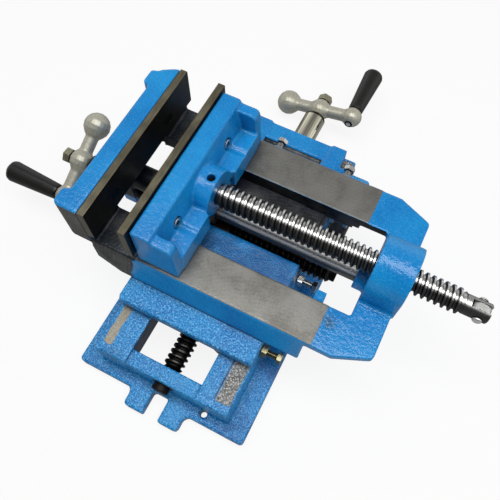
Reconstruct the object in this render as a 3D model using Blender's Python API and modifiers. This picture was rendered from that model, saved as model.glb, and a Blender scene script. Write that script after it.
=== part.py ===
"""Cross slide vise: a bench vise on two dovetail slides, each fed by a ball crank.

Metres, +Z up.  The origin lies under the middle of the base, on the surface it stands on.
The clamp screw runs along X, the jaws and the lower slide run along Y.
"""
import bpy
import bmesh
import math
from mathutils import Matrix, Vector

# Clearances
SLIDE_GAP = 0.0003
SEAT_GAP = 0.0003
BORE_GAP = 0.0003

# Base
BASE_LENGTH = 0.280
BASE_WIDTH = 0.157
FLANGE_THICKNESS = 0.012
FLANGE_CORNER = 0.003
PRONG_WIDTH = 0.0506
PRONG_REACH = 0.015
PRONG_FLARE = 0.004
PRONG_ROOT = 0.012
CLAMP_SLOT_WIDTH = 0.0144
CLAMP_SLOT_DEPTH = 0.0205
CLAMP_SLOT_CORNER = 0.002
FLANGE_HOLE = 0.006
FLANGE_HOLE_INSET = 0.008
FLANGE_HOLE_X = 0.039
BASE_WEB_WIDTH = 0.024
BASE_WEB_THICKNESS = 0.008
WAY_HEIGHT = 0.047
WAY_INSET = 0.010
WAY_WIDTH = 0.0295
WINDOW_WIDTH = 0.062
END_WALL = 0.013
END_WALL_DROP = 0.005
REAR_BOSS_RADIUS = 0.015
REAR_BOSS_REACH = 0.0055

# Dovetails: the flanks lean by this angle from the upright
DOVETAIL_ANGLE = math.radians(30.0)
LOWER_DOVETAIL_HEIGHT = 0.011
LOWER_DOVETAIL_FRONT = 0.050
LOWER_DOVETAIL_REAR = 0.060
UPPER_DOVETAIL_HEIGHT = 0.0147
UPPER_DOVETAIL_WIDTH = 0.100
GIB_THICKNESS = 0.005
LOWER_GIB_LENGTH = 0.176
UPPER_GIB_LENGTH = 0.172

# Saddle
SADDLE_THICKNESS = 0.0147
SADDLE_PAD = 0.0025
SADDLE_FRONT = 0.099
SADDLE_REAR = 0.098
REAR_BAND_REACH = 0.0197
REAR_BAND_RELIEF = 0.0008
REAR_BAND_WIDTH = 0.100
REAR_RELIEF_START = -0.0255
REAR_RELIEF_END = 0.0358
REAR_RELIEF_DROP = 0.0015
REAR_POCKET_START = -0.0245
REAR_POCKET_END = 0.0328
REAR_POCKET_INNER = 0.0815
REAR_POCKET_OUTER = 0.0993
REAR_POCKET_DEPTH = 0.004
CHANNEL_WIDTH = 0.024
CHANNEL_FLOOR = 0.0012

# Vise body
BODY_HEIGHT = 0.0297
BED_WIDTH = 0.1466
BODY_FOOT_WIDTH = 0.158
BED_WINDOW_WIDTH = 0.0774
BED_WINDOW_START = -0.012
WINDOW_CORNER = 0.008
WINDOW_END_CORNER = 0.0015
RAIL_START = -0.008
DECK_START = -0.020
RAIL_END = 0.176
STRIP_END = 0.1814
STRIP_RISE = 0.0006
DECK_THICKNESS = 0.008
DECK_SHOULDER = 0.1983
DECK_END = 0.226
DECK_END_WIDTH = 0.1234
JAW_WIDTH = 0.150
FIXED_JAW_HEIGHT = 0.0458
FIXED_JAW_WALL = 0.0149
FIXED_RIB_REACH = 0.006
FRONT_RIB_WIDTH = 0.0145
REAR_RIB_WIDTH = 0.015
REAR_RIB_INSET = 0.010
FOOT_LIP = 0.005
FOOT_LIP_RISE = 0.004
FOOT_TAPER_LENGTH = 0.0307
FOOT_TAPER = 0.0055
REAR_WALL_WIDTH = 0.026
REAR_WALL_THICKNESS = 0.0135
REAR_WALL_OUTER = -0.0255
REAR_WALL_BELOW_SCREW = 0.014
HOUSING_START = 0.199
HOUSING_LENGTH = 0.029
HOUSING_RADIUS = 0.0245
HOUSING_BELOW_ROD = 0.0105
HOUSING_FOOT_WIDTH = 0.0225
ROD_BOSS_RADIUS = 0.011
ROD_BOSS_LENGTH = 0.009
REAR_ROD_BOSS_END = 0.006
STOP_LUG_START = 0.168
STOP_LUG_LENGTH = 0.008
STOP_LUG_REACH = 0.0097
STOP_LUG_DROP = 0.004
STOP_LUG_HEIGHT = 0.0105

# Jaw plates
PLATE_THICKNESS = 0.0061
PLATE_BOTTOM = 0.0109
MOVING_PLATE_TOP = 0.0476
PLATE_SCREW_SPACING = 0.080
PLATE_SCREW_Z = 0.0247
PLATE_SCREW_SHANK = 0.006
PLATE_SCREW_HEAD = 0.010
PLATE_SCREW_HEAD_HEIGHT = 0.0035
PLATE_SCREW_GRIP = 0.008

# Moving jaw
JAW_OPENING = 0.0286
MOVING_JAW_WIDTH = 0.142
MOVING_JAW_HEIGHT = 0.0445
MOVING_JAW_TOP = 0.0162
MOVING_JAW_DRAFT = 0.005
MOVING_RIB_WIDTH = 0.0095
MOVING_RIB_TOP = 0.041
MOVING_RIB_REACH = 0.0337
MOVING_FOOT_REACH = 0.0353
PAD_HEIGHT = 0.021
PAD_INNER = 0.021
PAD_REACH = 0.0362
JAW_BOSS_RADIUS = 0.0200
JAW_BOSS_REACH = 0.0333
TAIL_DEPTH = 0.010
TAIL_REACH = 0.0313
TAIL_SIDE_GAP = 0.0003
ROD_LUG_RADIUS = 0.0105

# Guide rod, clamp screw and its end
ROD_DIAMETER = 0.012
ROD_Z = -0.0135
ROD_SEAT = 0.017
CLAMP_SCREW_Z = 0.0175
CLAMP_SCREW_DIAMETER = 0.0197
CLAMP_THREAD_END = 0.267
CLAMP_NECK_DIAMETER = 0.0155
CLAMP_SCREW_END = 0.286
CLAMP_NOSE_DIAMETER = 0.014
CLAMP_NOSE_LENGTH = 0.020
CLAMP_NOSE_GROOVE = 0.0025
GRUB_DIAMETER = 0.006
GRUB_LENGTH = 0.0085
GRUB_REACH = 0.0273
SLOT_WIDTH = 0.006
SLOT_DEPTH = 0.015
PIN_DIAMETER = 0.005
PIN_INSET = 0.007
PIN_HEAD_DIAMETER = 0.0075
PIN_HEAD_HEIGHT = 0.0022
TONGUE_LENGTH = 0.0075

# Feed drives, the same for both slides
X_SCREW_CLEARANCE = 0.001
Y_SCREW_DROP = 0.021
X_FEED_SCREW_DIAMETER = 0.016
Y_FEED_SCREW_DIAMETER = 0.0176
X_THREAD_LENGTH = 0.183
FRONT_JOURNAL_REACH = 0.006
THREAD_SHOULDER = 0.004
JOURNAL_DIAMETER = 0.011
FRONT_JOURNAL_DIAMETER = 0.0144
BUSH_DIAMETER = 0.016
FRONT_BUSH_DIAMETER = 0.0186
COLLAR_DIAMETER = 0.022
COLLAR_SPACE = 0.0028
HUB_DISTANCE = 0.0525
HUB_RADIUS = 0.011
CRANK_RADIUS = 0.035
BIG_BALL_RADIUS = 0.0123
GRIP_BALL_RADIUS = 0.010
ARM_WAIST = 0.0062
CRANK_STUD_DIAMETER = 0.008
CRANK_NUT_WIDTH = 0.013
CRANK_NUT_HEIGHT = 0.0065
STUD_PROUD = 0.002
SPINDLE_DIAMETER = 0.006
SPINDLE_HEAD_DIAMETER = 0.010
SPINDLE_HEAD = 0.0025
GRIP_LENGTH = 0.054
GRIP_INNER_DIAMETER = 0.0150
GRIP_OUTER_DIAMETER = 0.0200
Y_CRANK_TILT = math.radians(11.9)
X_CRANK_TILT = math.radians(24.4)
FEED_NUT_LENGTH = 0.030
FEED_NUT_WIDTH = 0.028
FEED_NUT_WALL = 0.0028
Y_NUT_SIDE = 0.006
X_NUT_LENGTH = 0.024
X_NUT_PLACE = -0.0185

# Gib screws
GIB_SCREW_DIAMETER = 0.006
GIB_SCREW_PROUD = 0.018
GIB_NUT_WIDTH = 0.010
GIB_NUT_HEIGHT = 0.005
GIB_HEAD_WIDTH = 0.0088
GIB_HEAD_HEIGHT = 0.004
X_GIB_SCREW_FIRST = 0.0168
X_GIB_SCREW_PITCH = 0.065
X_GIB_SCREW_Z = -0.0185
Y_GIB_SCREW_FIRST = -0.069
Y_GIB_SCREW_PITCH = 0.0695
Y_GIB_SCREW_DROP = 0.0065
GIB_SCREW_COUNT = 3

# Places of the slides in the photographed pose
VISE_X = -0.086
VISE_Y = 0.010

# Heights and half widths that follow from the sizes above
SADDLE_TOP = WAY_HEIGHT + SLIDE_GAP + SADDLE_THICKNESS
BED_TOP = SADDLE_TOP + SLIDE_GAP + BODY_HEIGHT
LEAN = math.tan(DOVETAIL_ANGLE)
WAY_LENGTH = BASE_LENGTH - 2 * WAY_INSET
HALF_WINDOW = WINDOW_WIDTH / 2
HALF_WAYS = HALF_WINDOW + WAY_WIDTH
LOWER_GROOVE = LOWER_DOVETAIL_HEIGHT + SLIDE_GAP + 0.0003
UPPER_GROOVE = UPPER_DOVETAIL_HEIGHT + SLIDE_GAP + 0.0003
HALF_UPPER = UPPER_DOVETAIL_WIDTH / 2
GIB_ROOM = GIB_THICKNESS + 2 * SLIDE_GAP
MOVING_X = JAW_OPENING + PLATE_THICKNESS + SEAT_GAP
FIXED_FACE = -PLATE_THICKNESS - SEAT_GAP
Y_SCREW_Z = WAY_HEIGHT - Y_SCREW_DROP
X_SCREW_Z = WAY_HEIGHT + X_SCREW_CLEARANCE + X_FEED_SCREW_DIAMETER / 2 - BED_TOP

for leftover in list(bpy.data.objects):
    bpy.data.objects.remove(leftover, do_unlink=True)

vise = bpy.data.collections.new("Cross_slide_vise")
bpy.context.scene.collection.children.link(vise)
cutters = bpy.data.collections.new("Cutters")
bpy.context.scene.collection.children.link(cutters)

AXES = {
    "X": Matrix(((0, 0, 1), (1, 0, 0), (0, 1, 0))).to_4x4(),
    "Y": Matrix(((1, 0, 0), (0, 0, -1), (0, 1, 0))).to_4x4(),
    "Z": Matrix.Identity(4),
}


def material(name, colour, roughness, metallic):
    mat = bpy.data.materials.new(name)
    mat.use_nodes = True
    shader = mat.node_tree.nodes["Principled BSDF"]
    shader.inputs["Base Color"].default_value = (*colour, 1.0)
    shader.inputs["Roughness"].default_value = roughness
    shader.inputs["Metallic"].default_value = metallic
    return mat


BLUE = material("blue_cast_paint", (0.018, 0.235, 0.674), 0.32, 0.0)
MACHINED = material("black_jaw_steel", (0.030, 0.028, 0.026), 0.42, 0.6)
STEEL = material("bright_steel", (0.55, 0.56, 0.58), 0.25, 1.0)
OXIDE = material("black_oxide_steel", (0.035, 0.035, 0.037), 0.35, 0.8)
ZINC = material("zinc_steel", (0.62, 0.58, 0.45), 0.30, 1.0)
CHROME = material("chrome", (0.75, 0.76, 0.78), 0.10, 1.0)
SILVER = material("silver_cast_paint", (0.40, 0.41, 0.42), 0.40, 0.35)
PLASTIC = material("black_plastic", (0.012, 0.012, 0.013), 0.30, 0.0)
IRON = material("gib_iron", (0.16, 0.16, 0.16), 0.50, 0.6)
BRONZE = material("bronze", (0.42, 0.26, 0.10), 0.38, 1.0)


def adopt(obj, parent, mat):
    """Link an object as a part of the vise, or as a hidden tool where it has no material."""
    obj.parent = parent
    if mat is None:
        cutters.objects.link(obj)
        obj.hide_render = True
        obj.display_type = "WIRE"
    else:
        vise.objects.link(obj)
        obj.data.materials.append(mat)
    return obj


def frame(name, location, parent=None, rotation=None):
    empty = bpy.data.objects.new(name, None)
    vise.objects.link(empty)
    empty.empty_display_size = 0.02
    if rotation is not None:
        empty.matrix_basis = rotation.to_4x4()
    empty.location = location
    empty.parent = parent
    return empty


def block(name, low, high, parent, mat=None):
    mesh = bpy.data.meshes.new(name)
    bm = bmesh.new()
    bmesh.ops.create_cube(bm, size=1.0)
    size = [b - a for a, b in zip(low, high)]
    bmesh.ops.scale(bm, vec=size, verts=bm.verts)
    bm.to_mesh(mesh)
    bm.free()
    obj = bpy.data.objects.new(name, mesh)
    obj.location = [(a + b) / 2 for a, b in zip(low, high)]
    return adopt(obj, parent, mat)


def rod(name, axis, centre, radius, start, end, parent, mat=None, sides=32, tip=None):
    """A cylinder, or a prism with few sides, along one axis between two stations."""
    mesh = bpy.data.meshes.new(name)
    bm = bmesh.new()
    bmesh.ops.create_cone(bm, cap_ends=True, segments=sides, radius1=radius,
                          radius2=radius if tip is None else tip, depth=end - start)
    bm.to_mesh(mesh)
    bm.free()
    mesh.shade_smooth()
    mesh.set_sharp_from_angle(angle=math.radians(35))
    obj = bpy.data.objects.new(name, mesh)
    middle = (start + end) / 2
    turn = {"X": (0, math.pi / 2, 0), "Y": (-math.pi / 2, 0, 0), "Z": (0, 0, 0)}[axis]
    place = {"X": (middle, *centre), "Y": (centre[0], middle, centre[1]), "Z": (*centre, middle)}[axis]
    obj.rotation_euler = turn
    obj.location = place
    return adopt(obj, parent, mat)


def rounded(corners, steps=4):
    """An outline whose corners (x, y, radius) are each turned by their own radius."""
    points = []
    count = len(corners)
    for i in range(count):
        x, y, radius = corners[i]
        here = Vector((x, y))
        before = Vector(corners[i - 1][:2]) - here
        after = Vector(corners[(i + 1) % count][:2]) - here
        if radius <= 0:
            points.append((x, y))
            continue
        a = before.normalized()
        b = after.normalized()
        half = a.angle(b) / 2
        reach = min(radius / math.tan(half), 0.49 * before.length, 0.49 * after.length)
        r = reach * math.tan(half)
        centre = here + (a + b).normalized() * (r / math.sin(half))
        first = here + a * reach - centre
        last = here + b * reach - centre
        sweep = first.angle_signed(last)
        for k in range(steps + 1):
            turn = Matrix.Rotation(-sweep * k / steps, 2)
            points.append(tuple(centre + turn @ first))
    return points


def slab(name, axis, outline, start, end, parent, mat=None):
    """A flat outline given thickness along one axis."""
    data = bpy.data.curves.new(name, "CURVE")
    data.dimensions = "2D"
    data.fill_mode = "BOTH"
    data.extrude = (end - start) / 2
    spline = data.splines.new("POLY")
    spline.points.add(len(outline) - 1)
    for point, (u, v) in zip(spline.points, outline):
        point.co = (u, v, 0.0, 1.0)
    spline.use_cyclic_u = True
    curve = bpy.data.objects.new(name, data)
    bpy.context.scene.collection.objects.link(curve)
    middle = (start + end) / 2
    offset = {"X": (middle, 0, 0), "Y": (0, middle, 0), "Z": (0, 0, middle)}[axis]
    curve.matrix_world = Matrix.Translation(offset) @ AXES[axis]
    bpy.context.view_layer.update()
    graph = bpy.context.evaluated_depsgraph_get()
    mesh = bpy.data.meshes.new_from_object(curve.evaluated_get(graph))
    place = curve.matrix_world.copy()
    bpy.data.objects.remove(curve, do_unlink=True)
    bm = bmesh.new()
    bm.from_mesh(mesh)
    bmesh.ops.remove_doubles(bm, verts=bm.verts, dist=0.00001)
    bmesh.ops.dissolve_limit(bm, angle_limit=0.0005, verts=bm.verts, edges=bm.edges)
    bmesh.ops.recalc_face_normals(bm, faces=bm.faces)
    bm.to_mesh(mesh)
    bm.free()
    mesh.materials.clear()
    mesh.name = name
    obj = bpy.data.objects.new(name, mesh)
    obj.matrix_basis = place
    return adopt(obj, parent, mat)


def turned(name, profile, parent, mat=None, steps=32, closed=False, rotation=None, location=(0, 0, 0)):
    """A profile of (radius, height) points turned about the local Z axis."""
    mesh = bpy.data.meshes.new(name)
    verts = [(r, 0.0, z) for r, z in profile]
    edges = [(i, i + 1) for i in range(len(verts) - 1)]
    if closed:
        edges.append((len(verts) - 1, 0))
    mesh.from_pydata(verts, edges, [])
    obj = bpy.data.objects.new(name, mesh)
    screw = obj.modifiers.new("Turn", "SCREW")
    screw.axis = "Z"
    screw.angle = math.tau
    screw.steps = steps
    screw.render_steps = steps
    screw.use_merge_vertices = True
    screw.merge_threshold = 0.00001
    screw.use_smooth_shade = True
    if rotation is not None:
        obj.matrix_basis = rotation.to_4x4()
    obj.location = location
    return adopt(obj, parent, mat)


def ring(name, outer, inner, low, high, parent, mat=None, steps=32):
    profile = [(outer, high), (outer, low), (inner, low), (inner, high)]
    return turned(name, profile, parent, mat, steps, closed=True)


def add(target, *tools):
    for tool in tools:
        step = target.modifiers.new("Join " + tool.name, "BOOLEAN")
        step.operation = "UNION"
        step.solver = "EXACT"
        step.object = tool


def cut(target, *tools):
    for tool in tools:
        step = target.modifiers.new("Cut " + tool.name, "BOOLEAN")
        step.operation = "DIFFERENCE"
        step.solver = "EXACT"
        step.object = tool


def repeat(obj, count, offset):
    """Copies in a row, at a constant spacing in the object's own axes."""
    row = obj.modifiers.new("Row", "ARRAY")
    row.count = count
    row.use_relative_offset = False
    row.use_constant_offset = True
    row.constant_offset_displace = offset
    row.use_merge_vertices = False


# Frames: the base stands still, the saddle slides along Y, the vise body along X
base = frame("base_frame", (0, 0, 0))
saddle = frame("saddle_frame", (0, VISE_Y, WAY_HEIGHT), base)
body = frame("body_frame", (VISE_X, 0, BED_TOP - WAY_HEIGHT), saddle)
jaw = frame("moving_jaw_frame", (MOVING_X, 0, 0), body)

# Base casting
half_base = BASE_LENGTH / 2
prong_end = half_base + PRONG_REACH
half_prong = PRONG_WIDTH / 2
half_width = BASE_WIDTH / 2
half_slot = CLAMP_SLOT_WIDTH / 2
base_casting = slab("base_casting", "Z", rounded([
    (-half_width, -half_base, FLANGE_CORNER), (half_width, -half_base, FLANGE_CORNER),
    (half_width, half_base, FLANGE_CORNER), (-half_width, half_base, FLANGE_CORNER),
], 3), 0, FLANGE_THICKNESS, base, BLUE)
for side, label in ((-1, "front"), (1, "rear")):
    prong = slab("prong_" + label, "Z", rounded([
        (-half_prong - PRONG_FLARE, side * (half_base - PRONG_ROOT), 0),
        (-half_prong - PRONG_FLARE, side * (half_base - 0.001), 0),
        (-half_prong, side * (half_base + PRONG_FLARE), 0.005),
        (-half_prong, side * prong_end, 0.003), (half_prong, side * prong_end, 0.003),
        (half_prong, side * (half_base + PRONG_FLARE), 0.005),
        (half_prong + PRONG_FLARE, side * (half_base - 0.001), 0),
        (half_prong + PRONG_FLARE, side * (half_base - PRONG_ROOT), 0),
    ]), 0, FLANGE_THICKNESS, base)
    add(base_casting, prong)
half_way_length = WAY_LENGTH / 2
wall_root = FLANGE_THICKNESS / 2
groove_low = WAY_HEIGHT - LOWER_GROOVE
groove_half = HALF_WINDOW + LOWER_GROOVE * LEAN
for side, label in ((-1, "left"), (1, "right")):
    outline = rounded([
        (side * HALF_WAYS, wall_root, 0),
        (side * HALF_WAYS, WAY_HEIGHT, 0.0015),
        (side * HALF_WINDOW, WAY_HEIGHT, 0),
        (side * groove_half, groove_low, 0),
        (side * groove_half, wall_root, 0),
    ], 2)
    way = slab("way_" + label, "Y", outline, -half_way_length, half_way_length, base)
    add(base_casting, way)
wall_half = groove_half + 0.004
wall_top = WAY_HEIGHT - END_WALL_DROP
for side, label in ((-1, "front"), (1, "rear")):
    ends = sorted((side * (half_way_length - 0.001), side * (half_way_length - 0.001 - END_WALL)))
    wall = block("end_wall_" + label, (-wall_half, ends[0], wall_root - 0.001),
                 (wall_half, ends[1], wall_top), base)
    add(base_casting, wall)
rear_face = half_way_length + REAR_BOSS_REACH
rear_boss = rod("rear_boss", "Y", (0, Y_SCREW_Z), REAR_BOSS_RADIUS, half_way_length - 0.006, rear_face, base)
add(base_casting, rear_boss)
for side in (-1, 1):
    slot = slab("clamp_slot", "Z", rounded([
        (-half_slot, side * (prong_end + 0.005), 0), (half_slot, side * (prong_end + 0.005), 0),
        (half_slot, side * (prong_end - CLAMP_SLOT_DEPTH), CLAMP_SLOT_CORNER),
        (-half_slot, side * (prong_end - CLAMP_SLOT_DEPTH), CLAMP_SLOT_CORNER),
    ], 3), -0.005, FLANGE_THICKNESS + 0.005, base)
    cut(base_casting, slot)
flange_hole = rod("flange_hole", "Z", (FLANGE_HOLE_X, -half_base + FLANGE_HOLE_INSET), FLANGE_HOLE / 2,
                  -0.005, FLANGE_THICKNESS + 0.005, base, sides=16)
front_bore = rod("y_front_bore", "Y", (0, Y_SCREW_Z), FRONT_BUSH_DIAMETER / 2 + BORE_GAP,
                 -half_way_length - 0.01,
                 -half_way_length + END_WALL + 0.01, base)
rear_bore = rod("y_rear_bore", "Y", (0, Y_SCREW_Z), BUSH_DIAMETER / 2 + BORE_GAP,
                half_way_length - END_WALL - 0.01,
                rear_face + 0.01, base)
opening_x = groove_half + 0.0005
opening_y = half_way_length - 0.001 - END_WALL + 0.0005
half_web = BASE_WEB_WIDTH / 2
base_opening = slab("base_opening", "X", [
    (-opening_y, -0.005), (-half_web, -0.005), (-half_web, BASE_WEB_THICKNESS),
    (half_web, BASE_WEB_THICKNESS),
    (half_web, -0.005), (opening_y, -0.005), (opening_y, FLANGE_THICKNESS + 0.001),
    (-opening_y, FLANGE_THICKNESS + 0.001),
], -opening_x, opening_x, base)
cut(base_casting, flange_hole, front_bore, rear_bore, base_opening)

# Lower gib, its screws through the right way, and their nuts


def gib_section(back, low, high, sign):
    """A leaning strip: its back follows the groove, its front the dovetail."""
    rise = high - low
    return [(back, low), (back - sign * GIB_THICKNESS, low),
            (back - sign * GIB_THICKNESS + LEAN * rise, high), (back + LEAN * rise, high)]


gib_top = WAY_HEIGHT - 0.0008
gib_low = groove_low + 0.0006
lower_back = HALF_WINDOW - SLIDE_GAP + LEAN * (WAY_HEIGHT - gib_top)
gib_rise = gib_top - gib_low
y_gib = slab("y_gib", "Y", [
    (lower_back, gib_top), (lower_back - GIB_THICKNESS, gib_top),
    (lower_back - GIB_THICKNESS + LEAN * gib_rise, gib_low), (lower_back + LEAN * gib_rise, gib_low),
], -LOWER_GIB_LENGTH / 2, LOWER_GIB_LENGTH / 2, base, IRON)
y_screw_height = WAY_HEIGHT - Y_GIB_SCREW_DROP
y_tip = HALF_WINDOW + LEAN * (Y_GIB_SCREW_DROP + GIB_SCREW_DIAMETER / 2) + SEAT_GAP
way_bore = rod("y_gib_bore", "X", (Y_GIB_SCREW_FIRST, y_screw_height), GIB_SCREW_DIAMETER / 2 + BORE_GAP,
               HALF_WINDOW - 0.002, HALF_WAYS + 0.005, base, sides=16)
repeat(way_bore, GIB_SCREW_COUNT, (0, Y_GIB_SCREW_PITCH, 0))
cut(base_casting, way_bore)
head_radius = GIB_HEAD_WIDTH / 2 / math.cos(math.pi / 6)
y_head_end = HALF_WAYS + GIB_SCREW_PROUD
for k in range(GIB_SCREW_COUNT):
    spot = (Y_GIB_SCREW_FIRST + k * Y_GIB_SCREW_PITCH, y_screw_height)
    screw = rod("y_gib_screw_%d" % (k + 1), "X", spot, GIB_SCREW_DIAMETER / 2, y_tip, y_head_end - 0.001,
                base, ZINC,
                sides=16)
    head = rod("y_gib_head", "X", spot, head_radius, y_head_end - GIB_HEAD_HEIGHT, y_head_end, base, sides=6)
    add(screw, head)
    nut_hole = rod("y_gib_nut_bore", "X", spot, GIB_SCREW_DIAMETER / 2 + BORE_GAP, HALF_WAYS - 0.002,
                   HALF_WAYS + GIB_NUT_HEIGHT + 0.005, base, sides=16)
    nut = rod("y_gib_nut_%d" % (k + 1), "X", spot, GIB_NUT_WIDTH / 2 / math.cos(math.pi / 6),
              HALF_WAYS + SEAT_GAP,
              HALF_WAYS + SEAT_GAP + GIB_NUT_HEIGHT, base, ZINC, sides=6)
    cut(nut, nut_hole)

# Saddle casting, in the saddle's frame: z is 0 on the ways
plate_low = SLIDE_GAP + SADDLE_PAD
plate_top = SLIDE_GAP + SADDLE_THICKNESS
rear_edge = SADDLE_REAR + REAR_BAND_REACH
relief = rear_edge - REAR_BAND_RELIEF
half_band = REAR_BAND_WIDTH / 2
saddle_casting = slab("saddle_casting", "Z", rounded([
    (-HALF_WAYS, -SADDLE_FRONT, 0.003), (HALF_WAYS, -SADDLE_FRONT, 0.003),
    (HALF_WAYS, SADDLE_REAR, 0.003), (half_band, SADDLE_REAR, 0.002),
    (half_band, rear_edge, 0.0008), (REAR_RELIEF_END, rear_edge, 0),
    (REAR_RELIEF_END, relief, 0), (REAR_RELIEF_START, relief, 0),
    (REAR_RELIEF_START, rear_edge, 0), (-half_band, rear_edge, 0.0008),
    (-half_band, SADDLE_REAR, 0.002), (-HALF_WAYS, SADDLE_REAR, 0.003),
], 3), plate_low, plate_top, saddle, BLUE)
for side, label in ((-1, "left"), (1, "right")):
    edges = sorted((side * (HALF_WINDOW + 0.001), side * (HALF_WAYS - 0.002)))
    pad = block("saddle_pad_" + label, (edges[0], -SADDLE_FRONT + 0.002, SLIDE_GAP),
                (edges[1], SADDLE_REAR - 0.002, plate_low + 0.002), saddle)
    add(saddle_casting, pad)
upper_low = plate_top - 0.002
upper_high = plate_top + UPPER_DOVETAIL_HEIGHT
front_flank = -HALF_UPPER + SLIDE_GAP
rear_flank = HALF_UPPER - GIB_ROOM
upper_tail = slab("upper_dovetail", "X", [
    (front_flank, upper_low), (rear_flank, upper_low), (rear_flank, plate_top),
    (rear_flank + LEAN * UPPER_DOVETAIL_HEIGHT, upper_high),
    (front_flank - LEAN * UPPER_DOVETAIL_HEIGHT, upper_high), (front_flank, plate_top),
], -HALF_WAYS, HALF_WAYS, saddle)
lower_tail_left = -HALF_WINDOW + SLIDE_GAP
lower_tail_right = HALF_WINDOW - GIB_ROOM
lower_tail = slab("lower_dovetail", "Y", [
    (lower_tail_left, plate_low + 0.002), (lower_tail_right, plate_low + 0.002), (lower_tail_right, 0),
    (lower_tail_right + LEAN * LOWER_DOVETAIL_HEIGHT, -LOWER_DOVETAIL_HEIGHT),
    (lower_tail_left - LEAN * LOWER_DOVETAIL_HEIGHT, -LOWER_DOVETAIL_HEIGHT), (lower_tail_left, 0),
], -LOWER_DOVETAIL_FRONT, LOWER_DOVETAIL_REAR, saddle)
add(saddle_casting, upper_tail, lower_tail)
half_channel = CHANNEL_WIDTH / 2
channel = block("saddle_channel", (-HALF_WAYS - 0.01, -half_channel, -CHANNEL_FLOOR),
                (HALF_WAYS + 0.01, half_channel, upper_high + 0.01), saddle)
rear_relief = block("rear_relief", (REAR_RELIEF_START, REAR_POCKET_INNER, plate_top - REAR_RELIEF_DROP),
                    (REAR_RELIEF_END, rear_edge + 0.01, plate_top + 0.01), saddle)
rear_pocket = block("rear_pocket",
                    (REAR_POCKET_START, REAR_POCKET_INNER + 0.0005, plate_top - REAR_POCKET_DEPTH),
                    (REAR_POCKET_END, REAR_POCKET_OUTER, plate_top + 0.005), saddle)
cut(saddle_casting, channel, rear_relief, rear_pocket)

# Vise body casting, in the body's frame: x is 0 on the fixed jaw's face, z is 0 on the bed
half_bed = BED_WIDTH / 2
half_foot = BODY_FOOT_WIDTH / 2
half_bed_window = BED_WINDOW_WIDTH / 2
half_deck_end = DECK_END_WIDTH / 2
half_jaw = JAW_WIDTH / 2
deck_low = -STRIP_RISE - DECK_THICKNESS
body_casting = slab("body_casting", "Z", rounded([
    (DECK_START, -half_bed, 0), (DECK_SHOULDER, -half_bed, 0.002), (DECK_END, -half_deck_end, 0.003),
    (DECK_END, half_deck_end, 0.003), (DECK_SHOULDER, half_bed, 0.002), (DECK_START, half_bed, 0),
], 3), deck_low, -STRIP_RISE, body, BLUE)
bed_under = -BODY_HEIGHT + UPPER_GROOVE
for side, label in ((-1, "front"), (1, "rear")):
    section = rounded([
        (side * (half_bed_window - 0.002), 0, 0),
        (side * half_bed, 0, 0.0008),
        (side * half_foot, -BODY_HEIGHT, 0.0008),
        (side * HALF_UPPER, -BODY_HEIGHT, 0),
        (side * (HALF_UPPER + LEAN * UPPER_GROOVE), bed_under, 0),
        (side * (half_bed_window - 0.002), bed_under, 0),
    ], 2)
    rail = slab("rail_" + label, "X", section, RAIL_START, RAIL_END, body)
    strips = sorted((side * (half_bed_window - 0.001), side * (half_bed - 0.0003)))
    strip = block("strip_" + label, (RAIL_END - 0.004, strips[0], deck_low + 0.002),
                  (STRIP_END, strips[1], 0), body)
    add(body_casting, rail, strip)
wall_back = FIXED_FACE - FIXED_JAW_WALL
rib_back = wall_back - FIXED_RIB_REACH
front_rib_inner = half_jaw - FRONT_RIB_WIDTH
rear_rib_outer = half_jaw - REAR_RIB_INSET
rear_rib_inner = rear_rib_outer - REAR_RIB_WIDTH
fixed_block = slab("fixed_jaw_block", "Z", rounded([
    (FIXED_FACE, -half_jaw, 0), (FIXED_FACE, half_jaw, 0.0008),
    (FIXED_FACE - 0.005, half_jaw - 0.002, 0.002),
    (wall_back + 0.0015, rear_rib_outer + 0.003, 0.002),
    (wall_back + 0.0003, rear_rib_outer + 0.0008, 0.0005),
    (rib_back, rear_rib_outer - 0.001, 0.0025), (rib_back, rear_rib_inner, 0.003),
    (wall_back, rear_rib_inner - 0.001, 0.003), (wall_back, -front_rib_inner + 0.001, 0.003),
    (rib_back, -front_rib_inner, 0.003), (rib_back, -half_jaw, 0.004),
], 3), -0.002, FIXED_JAW_HEIGHT, body)
foot_back = rib_back - FOOT_LIP
foot_lip = slab("fixed_jaw_foot", "Z", rounded([
    (RAIL_START + 0.004, -half_bed, 0), (RAIL_START + 0.004, half_bed, 0),
    (foot_back, half_bed - 0.001, 0.005),
    (foot_back, -half_bed + 0.001, 0.005),
], 3), deck_low + 0.001, FOOT_LIP_RISE, body)
half_rear_wall = REAR_WALL_WIDTH / 2
rear_wall_inner = REAR_WALL_OUTER + REAR_WALL_THICKNESS
wall_bottom = X_SCREW_Z - REAR_WALL_BELOW_SCREW
rear_wall = slab("screw_wall", "X", rounded([
    (-half_rear_wall, FOOT_LIP_RISE - 0.001, 0), (half_rear_wall, FOOT_LIP_RISE - 0.001, 0),
    (half_rear_wall * 0.9, wall_bottom, 0.008), (-half_rear_wall * 0.9, wall_bottom, 0.008),
], 4), REAR_WALL_OUTER, rear_wall_inner, body)
rear_rod_boss = rod("rear_rod_boss", "X", (0, ROD_Z), ROD_BOSS_RADIUS, REAR_WALL_OUTER + 0.003,
                    REAR_ROD_BOSS_END,
                    body)
housing_end = HOUSING_START + HOUSING_LENGTH
housing_low = ROD_Z - HOUSING_BELOW_ROD
arch = [(HOUSING_RADIUS * math.cos(math.pi * k / 20),
         CLAMP_SCREW_Z + HOUSING_RADIUS * math.sin(math.pi * k / 20))
        for k in range(21)]
half_housing_foot = HOUSING_FOOT_WIDTH / 2
housing_outline = [(-HOUSING_RADIUS, deck_low + 0.001), (HOUSING_RADIUS, deck_low + 0.001)] + arch
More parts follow.
